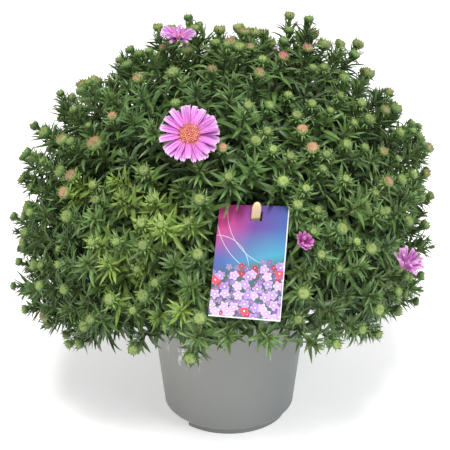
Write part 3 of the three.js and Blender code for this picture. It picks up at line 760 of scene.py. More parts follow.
foliage = {
    "spiral": math.radians(137.5),
    # young leaves close round a shoot's tip, then grown leaves down it: how many, along how much of the
    # shoot, their lengths and widths from the top down, in mm, and how far they lean out, in degrees
    "young": {"count": 20, "zone": (2, 15), "length": (7, 16), "width": (1.5, 2.3), "lean": (22, 60)},
    "grown": {"count": 24, "zone": (12, 70), "length": (16, 33), "width": (2.9, 4.4), "lean": (48, 80)},
    # a pair of numbers is a least value and how much is added at random
    "downPlay": 0.6, "lengthPlay": (0.8, 0.4), "widthPlay": (0.85, 0.3), "leanPlay": 18, "faceSway": 0.3,
    "paleShare": 0.5, "paleAge": (0.45, 0.4), "age": (0.02, 0.16), "patchAge": 0.12, "tint": (0.35, 0.65),
    # the shade's drop down a shoot is painted shade: grown leaves lower down, inside the bush, are darker
    "shadePlay": (0.75, 0.5), "paintedShadeDown": 0.8, "ageDown": 0.6,
    "shortestKept": 5, "shortening": 0.8, "leafAir": 0.8, "clearAt": (0.5, 1),
    # twigs: how thick at the bends of a shoot, of a branch to it and of the main stem, in mm
    "shootBend": (0.35, 0.3), "shootAt": (0, 0.35, 0.7, 1), "shootRadii": (1.2, 1.0, 0.8, 0.6),
    "branchRadii": (1.5, 1.4, 1.3), "branchRise": 2, "stemRadius": 2.0, "stemTaper": 0.4, "stemSteps": 4,
    "sharpAngle": 60,
}
budLook = {
    # the colour at the foot, the colour at the top, and where the second starts
    "green": ((0.06, 0.13, 0.03), (0.235, 0.31, 0.085), 0.55),
    "coral": ((0.19, 0.26, 0.075), (0.41, 0.20, 0.13), 0.62),
    "pink": ((0.24, 0.24, 0.09), (0.50, 0.10, 0.17), 0.55),
    "fullAt": 0.86, "bright": (0.68, 0.42), "seat": 0.8, "air": 0.5, "sharpAngle": 80,
    # the scales close on its side: from which lean to which, how far out, and how wide, in radii
    "scales": 11, "scalePlay": 0.3, "scaleFoot": 126, "footOut": 0.9, "scaleTip": (62, 22),
    "tipOut": (1.04, 0.24), "scaleWidth": 0.5, "scaleAge": (0.2, 0.35), "scaleShade": (0.6, 0.4),
    # the bracts that stand out under it
    "bracts": 12, "bractPlay": 0.3, "bractLean": (50, 46), "bractDown": 0.7, "bractOut": 0.25,
    "bractLength": (1.15, 0.75), "shortestBract": 5.1, "bractWidth": 1.45, "bractAge": 0.12,
    "bractShade": (0.6, 0.4),
}


def twigCurve(name):
    curve = bpy.data.curves.new(name, "CURVE")
    curve.dimensions = "3D"
    curve.bevel_depth = 1.0
    curve.bevel_resolution = 0
    curve.use_fill_caps = True
    curve.resolution_u = 1
    return curve


def addTwig(curve, points, radii):
    spline = curve.splines.new("POLY")
    spline.points.add(len(points) - 1)
    for item, place, radius in zip(spline.points, points, radii):
        item.co = (*place, 1)
        item.radius = radius


def meshOf(curve):  # its points and faces, as Blender makes them
    obj = showObject(curve.name, curve)
    mesh = bpy.data.meshes.new_from_object(obj.evaluated_get(bpy.context.evaluated_depsgraph_get()))
    points = [v.co.copy() for v in mesh.vertices]
    faces = [list(p.vertices) for p in mesh.polygons]
    bpy.data.objects.remove(obj)
    bpy.data.meshes.remove(mesh)
    return points, faces


def curveShape(curve):
    points, faces = meshOf(curve)
    return {"co": np.array([p[:] for p in points]), "faces": faces, "uv": np.zeros((len(points), 2))}


def yellowing(aim):  # leaves in the pale patch are younger and yellower
    polar, azimuth, width = thicket["yellowPatch"]
    away = math.degrees(aim.angle(direction(polar, azimuth))) / width
    return math.exp(-away * away)


def leafBlocked(place, reach):
    points = [place + reach * share for share in foliage["clearAt"]]
    return any(inTheWay(point, foliage["leafAir"]) and not overCorner(point) for point in points)


def lowestTip(tip):
    away = degreesPast(azimuthOf(tip), dome["leafRiseAzimuth"]) / dome["leafRiseWidth"]
    return dome["lowestLeaf"] + dome["leafRise"] * math.exp(-away ** 2)


def addLeaf(pile, kinds, place, along, face, length, width, tone, draw):
    shape = kinds[int(draw() * len(kinds))]
    while length > foliage["shortestKept"] and leafBlocked(place, along * length):
        length *= foliage["shortening"]
    tip = place + along * length
    if length > foliage["shortestKept"] and tip.z > lowestTip(tip):
        addCopy(pile, shape, leafMatrix(place, along, face, length, width), tone)


def shootRoot(shoot):  # where it leaves its stem's twigs
    aim = stems[shoot["own"]].lerp(shoot["aim"], thicket["pathLean"]).normalized()
    return domePoint(aim, reachOf(shoot["aim"]) * thicket["rootLevel"])


def ageOfShoot(aim, draw):  # from 0 for dark grown leaves to 1 for pale young ones
    pale = yellowing(aim)
    if draw() < foliage["paleShare"] * pale:
        return play(draw, *foliage["paleAge"])
    return play(draw, *foliage["age"]) + foliage["patchAge"] * pale * draw()


def partWay(ends, share):
    return ends[0] + (ends[1] - ends[0]) * share


def growShoot(pile, twigs, shoot, draw):
    root = shootRoot(shoot)
    tip = domePoint(shoot["aim"], reachOf(shoot["aim"]) * shoot["level"])
    straight = (tip - root).normalized()
    sway = swung(straight, math.pi / 2, draw() * anyTurn) * thicket["sway"]
    outward = (straight + Vector((0, 0, thicket["lift"])) + sway).normalized()
    reachOut = (tip - root).length
    first, last = foliage["shootBend"]
    path = (root, root + (tip - root) * first, tip - outward * reachOut * last, tip)
    addTwig(twigs, [pathPoint(path, s)[0] for s in foliage["shootAt"]], foliage["shootRadii"])
    age = ageOfShoot(shoot["aim"], draw)
    tint = play(draw, *foliage["tint"])
    turn = draw() * anyTurn
    for row, kinds in ((foliage["young"], youngKinds), (foliage["grown"], leafKinds)):
        for i in range(row["count"]):
            turn += foliage["spiral"]
            down = (i + foliage["downPlay"] * draw()) / row["count"]
            fromTip = partWay(row["zone"], down)
            if fromTip > reachOut:
                break
            place, runs = pathPoint(path, 1 - fromTip / reachOut)
            length = partWay(row["length"], down) * play(draw, *foliage["lengthPlay"])
            width = partWay(row["width"], down) * play(draw, *foliage["widthPlay"])
            lean = partWay(row["lean"], down) + foliage["leanPlay"] * (draw() - 0.5)
            along = swung(runs, math.radians(lean), turn)
            face = runs + swung(runs, math.pi / 2, draw() * anyTurn) * foliage["faceSway"]
            # painted shade: grown leaves lower on a shoot, inside the bush, are painted darker, and their age
            # drops too
            paintedShadeAndAgeDown = down * (kinds is leafKinds)   # grown leaves are darker the farther down they stand
            shade = tint * (1 - foliage["paintedShadeDown"] * paintedShadeAndAgeDown) * play(draw, *foliage["shadePlay"])
            # a tone is the age and the shade, and a chance of the leaf's own that no finish uses yet
            tone = (age * (1 - foliage["ageDown"] * paintedShadeAndAgeDown), max(0, min(1, shade)), draw())
            addLeaf(pile, kinds, place, along, face, length, width, tone, draw)
    return tip, outward, age


# Scales close on a bud's side, with their points over its rim
def addScales(pile, centre, outward, size, turn, draw):
    look = budLook
    for i in range(look["scales"]):
        about = turn + (i + look["scalePlay"] * draw()) * fullTurn / look["scales"]
        root = centre + swung(outward, math.radians(look["scaleFoot"]), about) * size * look["footOut"]
        lean = math.radians(look["scaleTip"][0] - look["scaleTip"][1] * draw())
        over = centre + swung(outward, lean, about) * size * play(draw, *look["tipOut"])
        tone = (play(draw, *look["scaleAge"]), play(draw, *look["scaleShade"]), 0.5)
        reach = over - root
        face = (over - centre).normalized()
        matrix = leafMatrix(root, reach.normalized(), face, reach.length, size * look["scaleWidth"])
        addCopy(pile, youngKinds[1], matrix, tone)


# Bracts that stand out under it
def addBracts(pile, centre, outward, size, turn, age, draw):
    look = budLook
    for i in range(look["bracts"]):
        lean = math.radians(play(draw, *look["bractLean"]))
        along = swung(outward, lean, turn + i * fullTurn / look["bracts"] + look["bractPlay"] * draw())
        root = centre - outward * size * look["bractDown"] + along * size * look["bractOut"]
        length = max(look["shortestBract"], size * play(draw, *look["bractLength"]))
        tone = (min(1, age + look["bractAge"]), play(draw, *look["bractShade"]), 0.5)
        addLeaf(pile, youngKinds, root, along, outward, length, look["bractWidth"], tone, draw)


def growBud(pile, shoot, tip, outward, age, draw):
    look = budLook
    size = shoot["bud"] * thicket["largeBuds"].get(shoot["kind"], 1)
    low, high, start = (np.array(c) for c in look[shoot["kind"]])
    blend = np.clip((bud["uv"][:, 1:2] - start) / (look["fullAt"] - start), 0, 1)
    tone = (low * (1 - blend) + high * blend) * play(draw, *look["bright"])
    centre = tip + outward * size * look["seat"]
    aside = swung(outward, math.pi / 2, draw() * anyTurn)
    if inTheWay(centre + outward * size, look["air"]):
        return
    addCopy(pile, bud, placed(aside * size, outward.cross(aside) * size, outward * size, centre), tone, 1)
    turn = draw() * anyTurn
    addScales(pile, centre, outward, size, turn, draw)
    addBracts(pile, centre, outward, size, turn, age, draw)


def leaderPoints(own):  # the main stem, from the compost to where it branches
    axis = stems[own]
    out = Vector((axis.x, axis.y, 0)).normalized()
    root = out * bush["rootSpread"] * (polarOf(axis) / 90) ** bush["rootPower"]
    heights = (-bush["rootedDepth"], *bush["bendHeights"])
    points = [Vector((root.x, root.y, bush["compostTop"] + z)) for z in heights]
    return points + [domePoint(axis, reachOf(axis) * level) for level in bush["leaderLevels"]]


def smoothPath(points, steps):  # an even, rounded path through the points
    curve = bpy.data.curves.new("path", "CURVE")
    curve.dimensions = "3D"
    curve.resolution_u = steps
    spline = curve.splines.new("BEZIER")
    spline.bezier_points.add(len(points) - 1)
    for item, place in zip(spline.bezier_points, points):
        item.co = place
        item.handle_left_type = item.handle_right_type = "AUTO"
    return meshOf(curve)[0]


def growStem(own):
    draw = drawFrom(3001 + own)
    pile, budPile = newPile(), newPile()
    twigs = twigCurve(f"twigs{own}")
    leader = smoothPath(leaderPoints(own), foliage["stemSteps"])
    radii = [foliage["stemRadius"] - foliage["stemTaper"] * i / len(leader) for i in range(len(leader))]
    addTwig(twigs, leader, radii)
    top = leader[-1]
    for shoot in [s for s in shoots if s["own"] == own]:
        root = shootRoot(shoot)
        middle = top.lerp(root, 0.5) + stems[own] * foliage["branchRise"]
        addTwig(twigs, [top, middle, root], foliage["branchRadii"])
        tip, outward, age = growShoot(pile, twigs, shoot, draw)
        if shoot["kind"] != "leafy":
            growBud(budPile, shoot, tip, outward, age, draw)
    addCopy(pile, curveShape(twigs), Matrix.Identity(4), (0.2, 0.5, 0.5), 1)
    number = f"{own + 1:02d}"
    leaves = finishPile(pile, f"foliage_{number}", [leafFinish, twigFinish], foliage["sharpAngle"])
    dress(leaves, "foliage", f"leafy_stem_{number}")
    if budPile["count"]:
        buds = finishPile(budPile, f"buds_{number}", [leafFinish, budFinish], budLook["sharpAngle"])
        dress(buds, "foliage")


for own in range(len(stems)):
    growStem(own)
print("foliage done")

# Blooms: finer rays with notched tips, in two layers, round a disc of small florets
rayForm = {
    "foot": 0.34, "fullAt": 1.35, "shoulder": 0.8, "tipNarrowing": 0.22, "tipStart": 0.72,   # its outline
    "notches": 0.05, "tipRound": 0.05, "cornerCut": 0.02, "grooves": 0.035, "thickness": 0.022,   # in lengths
}


def rayShape(bend, cupped):  # a strap with a notched tip: length 1, half width 0.5, upper face to +Z
    form = rayForm
    bm = bmesh.new()
    bmesh.ops.create_grid(bm, x_segments=4, y_segments=5, size=0.5)
    bmesh.ops.translate(bm, verts=bm.verts, vec=(0, 0.5, 0))
    uv = []
    for v in bm.verts:
        side, along = v.co.x * 2, v.co.y
        widening = math.sin(0.5 * math.pi * min(1, along * form["fullAt"])) ** form["shoulder"]
        half = 0.5 * (form["foot"] + (1 - form["foot"]) * widening)
        half *= 1 - form["tipNarrowing"] * max(0, along - form["tipStart"]) / (1 - form["tipStart"])
        end = along
        if along > 0.95:
            end -= form["notches"] * abs(math.cos(1.5 * math.pi * side)) + form["tipRound"] * side * side
            end -= form["cornerCut"] * (abs(side) in (0, 1))
        grooves = form["grooves"] * math.cos(fullTurn * side) * min(1, 2 * along)
        out, down = bent(end, bend)
        v.co = (side * half, out, cupped * side * side * half + grooves - down)
        uv.append((0.5 + 0.5 * side, along))
    bmesh.ops.recalc_face_normals(bm, faces=bm.faces)
    bmesh.ops.solidify(bm, geom=bm.faces[:], thickness=form["thickness"])
    bmesh.ops.recalc_face_normals(bm, faces=bm.faces)
    return shapeOf(bm, uv + uv)  # the under side has the same pattern


def floretShape():
    bm = bmesh.new()
    bmesh.ops.create_cone(bm, cap_ends=True, segments=5, radius1=0.34, radius2=0.5, depth=1)
    top = [f for f in bm.faces if f.normal.z > 0.9]
    bmesh.ops.inset_region(bm, faces=top, thickness=0.2, depth=-0.22)
    return shapeOf(bm, plainPattern(bm))


petalLook = {
    "petal": (0.69, 0.19, 0.68), "base": (0.66, 0.17, 0.46), "baseTo": (0.22, 0.5),
    "edge": (0.78, 0.40, 0.78), "edgeShare": 0.9, "tip": (0.84, 0.62, 0.84), "tipPower": 5.0,
    "lines": 5, "lineShade": (0.07, 0.95), "grainScale": 700, "bump": (0.4, 0.0004), "roughness": 0.55,
}


def petalMaterial():
    look = petalLook
    material, tree, shader = newMaterial("petalViolet", look["roughness"])
    across, along = patternPlace(tree)
    lines = maths(tree, "SINE", maths(tree, "MULTIPLY", across, fullTurn * look["lines"]))
    colour = mixColour(tree, mapped(tree, along, *look["baseTo"]), look["base"], look["petal"])
    fromMiddle = maths(tree, "ABSOLUTE", maths(tree, "SUBTRACT", across, 0.5))
    colour = mixColour(tree, maths(tree, "MULTIPLY", fromMiddle, look["edgeShare"]), colour, look["edge"])
    colour = mixColour(tree, maths(tree, "POWER", along, look["tipPower"]), colour, look["tip"])
    colour = shaded(tree, colour, scaled(tree, lines, *look["lineShade"]))
    colour = shaded(tree, colour, toneColour(tree))
    tree.links.new(colour, shader.inputs["Base Color"])
    bumpBy(tree, shader, maths(tree, "ADD", lines, noiseAt(tree, look["grainScale"], 3)), *look["bump"])
    return material


discLook = {"mottleScale": 900, "mottle": (0.8, 0.6), "bump": (0.5, 0.0004), "roughness": 0.75}


def discMaterial():
    look = discLook
    material, tree, shader = newMaterial("discFlorets", look["roughness"])
    mottle = scaled(tree, noiseAt(tree, look["mottleScale"], 3), *look["mottle"])
    tree.links.new(shaded(tree, toneColour(tree), mottle), shader.inputs["Base Color"])
    bumpBy(tree, shader, mottle, *look["bump"])
    return material


petalFinish, discFinish = petalMaterial(), discMaterial()
rayKinds = [rayShape(bend, cupped) for bend, cupped in ((0.12, 0.15), (0.3, 0.1), (-0.12, 0.3), (0.45, 0.22))]
floret = floretShape()

# A pair of numbers is a least value and how much is added at random; places are in mm, or shares of the hub
bloomForm = {
    "turnPlay": 0.5, "layerCup": 7, "spread": 9, "rootOut": 0.55, "rootRise": 0.7, "rootInHub": 0.45,
    "lengthPlay": (0.93, 0.12), "widthPlay": (0.82, 0.3), "bright": (0.84, 0.16), "faceSway": 0.35,
    "florets": 120, "floretSize": 1.15, "sizePlay": (0.85, 0.3), "floretLean": 0.5,
    "discRise": 1.8, "discDome": 0.42, "domePower": 0.6, "outerFrom": 0.82, "outerShade": 0.6,
    "floretColours": ((0.52, 0.13, 0.13), (0.72, 0.33, 0.21)),
    "cushion": (0.42, 0.08, 0.07), "cushionRise": 1.5, "cushionFlat": 0.36,
    "sharpAngle": 50,
}


def makeRays(name, bloom, draw):
    form = bloomForm
    pile = newPile()
    facing, centre = bloom["facing"], bloom["centre"]
    for i in range(bloom["fine"]):
        layer = i % 2
        out = swung(facing, math.pi / 2, (i + form["turnPlay"] * draw()) * fullTurn / bloom["fine"])
        spread = bloom.get("spread", form["spread"]) * (draw() - 0.5)
        cup = math.radians(bloom["cup"] + form["layerCup"] * layer + spread)
        along = out * math.cos(cup) + facing * math.sin(cup)
        root = centre + out * bloom["hub"] * form["rootOut"] + facing * (form["rootRise"] * (1 + layer))
        length = bloom["length"] * play(draw, *form["lengthPlay"]) + form["rootInHub"] * bloom["hub"]
        width = bloom["width"] * play(draw, *form["widthPlay"])
        bright = play(draw, *form["bright"])
        side = along.cross(facing).normalized()
        face = (facing + side * form["faceSway"] * (draw() - 0.5)).normalized()
        tone = tuple(bright * c for c in bloom.get("tint", (1, 1, 1)))
        ray = rayKinds[int(draw() * len(rayKinds))]
        addCopy(pile, ray, leafMatrix(root, along, face, length, width), tone)
    made = finishPile(pile, f"bloom_{name}_petals", [petalFinish], form["sharpAngle"])
    dress(made, "petals", f"bloom_{name}_rays")


def makeDisc(name, bloom, draw):  # small florets in a spiral, on a cushion
    form = bloomForm
    pile = newPile()
    facing, centre, radius = bloom["facing"], bloom["centre"], bloom["disc"]
    dark, light = (np.array(c) for c in form["floretColours"])
    for i in range(form["florets"]):
        share = math.sqrt((i + 0.5) / form["florets"])
        out = swung(facing, math.pi / 2, i * foliage["spiral"])
        fall = math.cos(share * math.pi / 2) ** form["domePower"]
        root = centre + out * radius * share + facing * (form["discRise"] + form["discDome"] * radius * fall)
        axis = (facing + out * form["floretLean"] * share).normalized()
        size = form["floretSize"] * play(draw, *form["sizePlay"])
        matrix = leafMatrix(root, swung(axis, math.pi / 2, draw() * anyTurn), axis, size, size)
        blend = draw()
        shade = form["outerShade"] if share > form["outerFrom"] else 1
        addCopy(pile, floret, matrix, tuple((dark * (1 - blend) + light * blend) * shade))
    bm = bmesh.new()
    bmesh.ops.create_uvsphere(bm, u_segments=20, v_segments=10, radius=1)
    cushion = shapeOf(bm, plainPattern(bm))
    foot = centre + facing * form["cushionRise"]
    matrix = leafMatrix(foot, swung(facing, math.pi / 2, 0), facing, radius, radius)
    addCopy(pile, cushion, matrix @ Matrix.Diagonal((1, 1, form["cushionFlat"], 1)), form["cushion"])
    made = finishPile(pile, f"bloom_{name}_florets", [discFinish], form["sharpAngle"])
    dress(made, "bloom_disc", f"bloom_{name}_disc")


for name, bloom in blooms.items():
    draw = drawFrom(700 + bloom["rays"])
    makeRays(name, bloom, draw)
    if bloom["disc"]:
        makeDisc(name, bloom, draw)
print("blooms done")


# Pot: one thin moulded piece, turned from its wall's outline, with two wide openings through the foot ring
pot = {
    "height": 110, "footRadius": 47, "footHeight": 5.5, "footRing": 4, "shoulderRadius": 53.4,
    "shoulderHeight": 14, "wallTop": 63.4, "rim": 65, "rimDepth": 9, "wall": 1.6, "floor": 5.6,
    "sides": 112, "cornerRound": 0.5, "sharpAngle": 40,
    "openings": (-163, 17), "halfOpening": 29, "openingHeight": 4.7, "openingStep": 0.15,
}
potLook = {
    # left and right are painted light and shade: the wall's colour is lighter on the pot's left and darker on
    # its right
    "left": (0.244, 0.244, 0.232), "right": (0.138, 0.150, 0.153), "glint": (0.62, 0.62, 0.60),
    "cloudScale": 9, "clouds": (0.24, 0.88), "grainScale": 900, "grain": (0.12, 0.94),
    # the wall is creased at the upper left and smoother there, with a painted highlight (glint) on its
    # creases
    "creasedAt": (-36, -49, 73), "creasedWide": 22, "creasedFull": 0.3, "creaseScale": 240,
    "creaseTurn": (0.3, 0.5, 0.6), "creaseStretch": (1.0, 1.0, 0.35), "glintFrom": (0.53, 0.64),
    "glintShare": 0.8, "scuffScale": 45, "scuffs": (0.25, 0.3), "smoothing": -0.2,
    "dents": 3.0, "grainRelief": 0.3, "bump": (0.3, 0.0005), "roughness": 0.42,
}


def potMaterial():
    look = potLook
    material, tree, shader = newMaterial("pottingGrey", look["roughness"])
    cloud, grain = noiseAt(tree, look["cloudScale"], 3), noiseAt(tree, look["grainScale"], 2)
    ownPlace = tree.nodes.new("ShaderNodeTexCoord").outputs["Object"]
    place = node(tree, "ShaderNodeSeparateXYZ", i0=ownPlace)
    # painted light and shade: the wall's colour runs from the lighter left to the darker right
    across = scaled(tree, place.outputs[0], 0.5 / (pot["rim"] * metres), 0.5)
    colour = mixColour(tree, across, look["left"], look["right"])
    colour = shaded(tree, colour, scaled(tree, cloud, *look["clouds"]))
    colour = shaded(tree, colour, scaled(tree, grain, *look["grain"]))
    creasedAt = [c * metres for c in look["creasedAt"]]
    toCrease = node(tree, "ShaderNodeVectorMath", {"operation": "DISTANCE"}, i0=ownPlace, i1=creasedAt)
    wide = look["creasedWide"] * metres
    near = mapped(tree, toCrease.outputs["Value"], wide, look["creasedFull"] * wide)
    slanted = node(tree, "ShaderNodeMapping", Vector=ownPlace, Rotation=look["creaseTurn"],
                   Scale=look["creaseStretch"])
    creases = noiseOn(tree, slanted.outputs[0], look["creaseScale"])
    # painted highlight: a pale glint colour mixed into the wall's colour on the creases near the upper left
    shine = maths(tree, "MULTIPLY", mapped(tree, creases, *look["glintFrom"]), near)
    colour = mixColour(tree, maths(tree, "MULTIPLY", shine, look["glintShare"]), colour, look["glint"])
    tree.links.new(colour, shader.inputs["Base Color"])
    scuffs = scaled(tree, noiseAt(tree, look["scuffScale"], 5), *look["scuffs"])
    tree.links.new(scaled(tree, shine, look["smoothing"], scuffs), shader.inputs["Roughness"])
    dents = maths(tree, "MULTIPLY", maths(tree, "MULTIPLY", creases, near), look["dents"])
    relief = maths(tree, "ADD", dents, maths(tree, "MULTIPLY", grain, look["grainRelief"]))
    bumpBy(tree, shader, relief, *look["bump"])
    return material


def turnedShape(outline, steps, doubles):  # an outline of radii and heights, spun round the upright axis
    bm = bmesh.new()
    corners = [bm.verts.new((radius, 0, height)) for radius, height in outline]
    edges = [bm.edges.new(pair) for pair in zip(corners, corners[1:])]
    bmesh.ops.spin(bm, geom=corners + edges, cent=(0, 0, 0), axis=(0, 0, 1), angle=fullTurn, steps=steps,
                   use_merge=True)
    bmesh.ops.remove_doubles(bm, verts=bm.verts, dist=doubles)
    return bm


def potOutline():
    wallTop, shoulderIn = pot["wallTop"] - pot["wall"], pot["shoulderRadius"] - pot["wall"]
    underRim, foot, shoulder = pot["height"] - pot["rimDepth"], pot["footHeight"], pot["shoulderRadius"]
    ring, floorTop = pot["footRadius"] - pot["footRing"], pot["floor"] + pot["wall"]
    return [
        (0, pot["floor"]), (ring - 6, pot["floor"]), (ring, pot["floor"] - 0.3), (ring + 0.5, 0),
        (pot["footRadius"], 0), (pot["footRadius"], foot), (shoulder - 2.6, foot + 1.1),
        (shoulder - 0.5, foot + 3.4), (shoulder, pot["shoulderHeight"]), (pot["wallTop"], underRim),
        (pot["rim"], underRim + 0.8), (pot["rim"], pot["height"]), (wallTop, pot["height"]),
        (shoulderIn, pot["shoulderHeight"]), (shoulderIn - 4.5, foot + 3.5), (ring, floorTop), (0, floorTop),
    ]


def cutOpeningEnd(bm, end):  # two cuts close together across the foot ring, for an upright step between them
    for beside in (-pot["openingStep"], pot["openingStep"]):
        cut = math.radians(end + beside)
        ringEnd = [v for v in bm.verts if v.co.z < 5 * metres and v.co.xy.length > 40 * metres
                   and abs(degreesPast(azimuthOf(v.co), end)) < 8]
        faces = list({f for v in ringEnd for f in v.link_faces})
        edges = list({e for f in faces for e in f.edges})
        corners = list({v for f in faces for v in f.verts})
        bmesh.ops.bisect_plane(bm, geom=faces + edges + corners, plane_co=(0, 0, 0),
                               plane_no=(-math.sin(cut), math.cos(cut), 0))


def liftOpening(bm, middle):
    for v in bm.verts:
        inside = abs(degreesPast(azimuthOf(v.co), middle)) < pot["halfOpening"]
        if inside and v.co.z < 4.9 * metres:
            v.co.z = pot["openingHeight"] * metres + 0.05 * v.co.z


def makePot():
    bm = turnedShape([(r * metres, z * metres) for r, z in potOutline()], pot["sides"], 1e-6)
    rounded = [e for e in bm.edges if e.is_manifold and math.degrees(e.calc_face_angle(0)) > 35
               and abs(e.verts[0].co.z - e.verts[1].co.z) < 1e-6 and e.verts[0].co.xy.length > 20 * metres]
    bmesh.ops.bevel(bm, geom=rounded, offset=pot["cornerRound"] * metres, segments=3, profile=0.5,
                    affect="EDGES", offset_type="OFFSET", clamp_overlap=True, material=-1)
    for middle in pot["openings"]:
        cutOpeningEnd(bm, middle - pot["halfOpening"])
        cutOpeningEnd(bm, middle + pot["halfOpening"])
    for middle in pot["openings"]:
        liftOpening(bm, middle)
    bmesh.ops.recalc_face_normals(bm, faces=bm.faces)
    mesh = bpy.data.meshes.new("pot_shell")
    bm.to_mesh(mesh)
    bm.free()
    mesh.polygons.foreach_set("use_smooth", np.ones(len(mesh.polygons), bool))
    mesh.set_sharp_from_angle(angle=math.radians(pot["sharpAngle"]))
    mesh.materials.append(potMaterial())
    dress(showObject("pot_shell", mesh), "pot_plastic", "pot")


makePot()


# Compost: a rough mound in the pot, with small crumbs on it
compost = {
    "gap": 0.4, "sides": 72, "cuts": 18, "edgeDrop": 0.6, "edgeWide": 3, "roughness": 1.6, "sink": 0.6,
    "lumps": 0.16, "smallLumps": 0.5, "smallShare": 0.6,
    "crumbs": 260, "crumbsOut": 56, "crumbSize": (0.7, 1.7), "crumbFlat": (1, 0.7, 0.5), "sharpAngle": 30,
}
compostLook = {
    "stops": [(0.32, (0.012, 0.008, 0.005)), (0.55, (0.04, 0.024, 0.013)), (0.75, (0.085, 0.055, 0.03))],
    "coarseScale": 120, "fineScale": 700, "fine": (0.9, 0.55), "bump": (0.9, 0.0015), "roughness": 0.95,
}
middleTone = (0.5, 0.5, 0.5)


def compostMaterial():
    look = compostLook
    material, tree, shader = newMaterial("compostBrown", look["roughness"])
    coarse, fine = noiseAt(tree, look["coarseScale"], 6), noiseAt(tree, look["fineScale"], 4)
    colour = shaded(tree, ramp(tree, coarse, look["stops"]), scaled(tree, fine, *look["fine"]))
    tree.links.new(colour, shader.inputs["Base Color"])
    bumpBy(tree, shader, fine, *look["bump"])
    return material


def insideWall(height):  # the compost's radius at a height
    risen = (height - pot["shoulderHeight"]) / (pot["height"] - pot["shoulderHeight"])
    outside = pot["shoulderRadius"] + risen * (pot["wallTop"] - pot["shoulderRadius"])
    return outside - pot["wall"] - compost["gap"]


def compostShape():
    top, bottom = bush["compostTop"], pot["shoulderHeight"]
    wide = insideWall(top)
    outline = [(0, bottom), (insideWall(bottom), bottom), (insideWall(top - 2), top - 2),
               (wide - compost["edgeWide"], top - compost["edgeDrop"]), (wide - 10, top), (0, top)]
    bm = turnedShape(outline, compost["sides"], 1e-4)
    upper = [f for f in bm.faces if f.calc_center_median().z > top - 1.5]
    outward = list({e for f in upper for e in f.edges
                    if abs(e.verts[0].co.xy.length - e.verts[1].co.xy.length) > 4})
    bmesh.ops.subdivide_edges(bm, edges=outward, cuts=compost["cuts"], use_grid_fill=True)
    for v in bm.verts:
        if v.co.z > top - 1.9 and v.co.xy.length < wide - 2:
            small = compost["smallShare"] * noise.noise(v.co * compost["smallLumps"])
            v.co.z += compost["roughness"] * (noise.noise(v.co * compost["lumps"]) + small) - compost["sink"]
    bmesh.ops.recalc_face_normals(bm, faces=bm.faces)
    return shapeOf(bm, plainPattern(bm))


def makeCompost():
    draw = drawFrom(51)
    pile = newPile()
    addCopy(pile, compostShape(), Matrix.Identity(4), middleTone)
    bm = bmesh.new()
    bmesh.ops.create_icosphere(bm, subdivisions=1, radius=1)
    crumb = shapeOf(bm, plainPattern(bm))
    least, more = compost["crumbSize"]
    for _ in range(compost["crumbs"]):
        radius, turn = compost["crumbsOut"] * math.sqrt(draw()), draw() * fullTurn
        size = least + more * draw() ** 2
        height = bush["compostTop"] - 0.3 + 0.2 * size
        matrix = Matrix.Translation((radius * math.cos(turn), radius * math.sin(turn), height))
        matrix = matrix @ Matrix.Rotation(draw() * anyTurn, 4, Vector((draw(), draw(), 1)).normalized())
        matrix = matrix @ Matrix.Diagonal((*(size * share for share in compost["crumbFlat"]), 1))
        addCopy(pile, crumb, matrix, middleTone)
    made = finishPile(pile, "compost_mound", [compostMaterial()], compost["sharpAngle"])
    dress(made, "compost", "compost")


makeCompost()
print("pot and compost done")


# Card: a thin printed sheet, with a plain picture of the maker's own: soft bands of colour, arcs and blossoms
cardForm = {"across": 24, "up": 36, "slotGap": 0.35, "curl": 0.135, "sheet": 0.7, "sharpAngle": 40}
cardLook = {
    "rose": (0.46, 0.045, 0.20), "violet": (0.10, 0.035, 0.22), "sky": (0.05, 0.09, 0.30),
    "sea": (0.045, 0.30, 0.40), "lavender": (0.27, 0.15, 0.48), "pale": (0.50, 0.36, 0.66),
    "shade": (0.018, 0.03, 0.035), "leaves": (0.06, 0.12, 0.08), "coral": (0.60, 0.05, 0.10),
    "heart": (0.75, 0.6, 0.35), "white": (0.62, 0.62, 0.64),
    "slant": (-0.35, 0.25), "skyStops": (0.05, 0.5, 0.9), "lowStops": (0.1, 0.8), "skyAt": (0.5, 0.8),
    # thin white arcs: their centres and radii, in heights of the card
    "arcs": [(0.95, 0.98, 0.52), (0.95, 0.98, 0.62), (0.02, 0.42, 0.3)], "arcHalf": 0.003, "arcShare": 0.55,
    # the garden under them, and its two layers of blossoms: how fine, up to where, how bright, and the
    # chance from which one is coral
    "gardenAt": (0.45, 0.34), "gardenSlant": -0.14, "gardenShare": 0.92, "groundScale": 16,
    "layers": [(17.0, 0.42, 0.5, 0.74), (11.5, 0.36, 1.0, 0.86)],
    "petals": 5.0, "petalDepth": (0.08, 0.44), "heartRadius": 0.1, "petalShade": (1.5, 0.6), "topSlant": -0.2,
    "margins": (0.99, 0.01), "bump": (0.05, 0.0002), "roughness": 0.5, "gloss": 0.25,
}


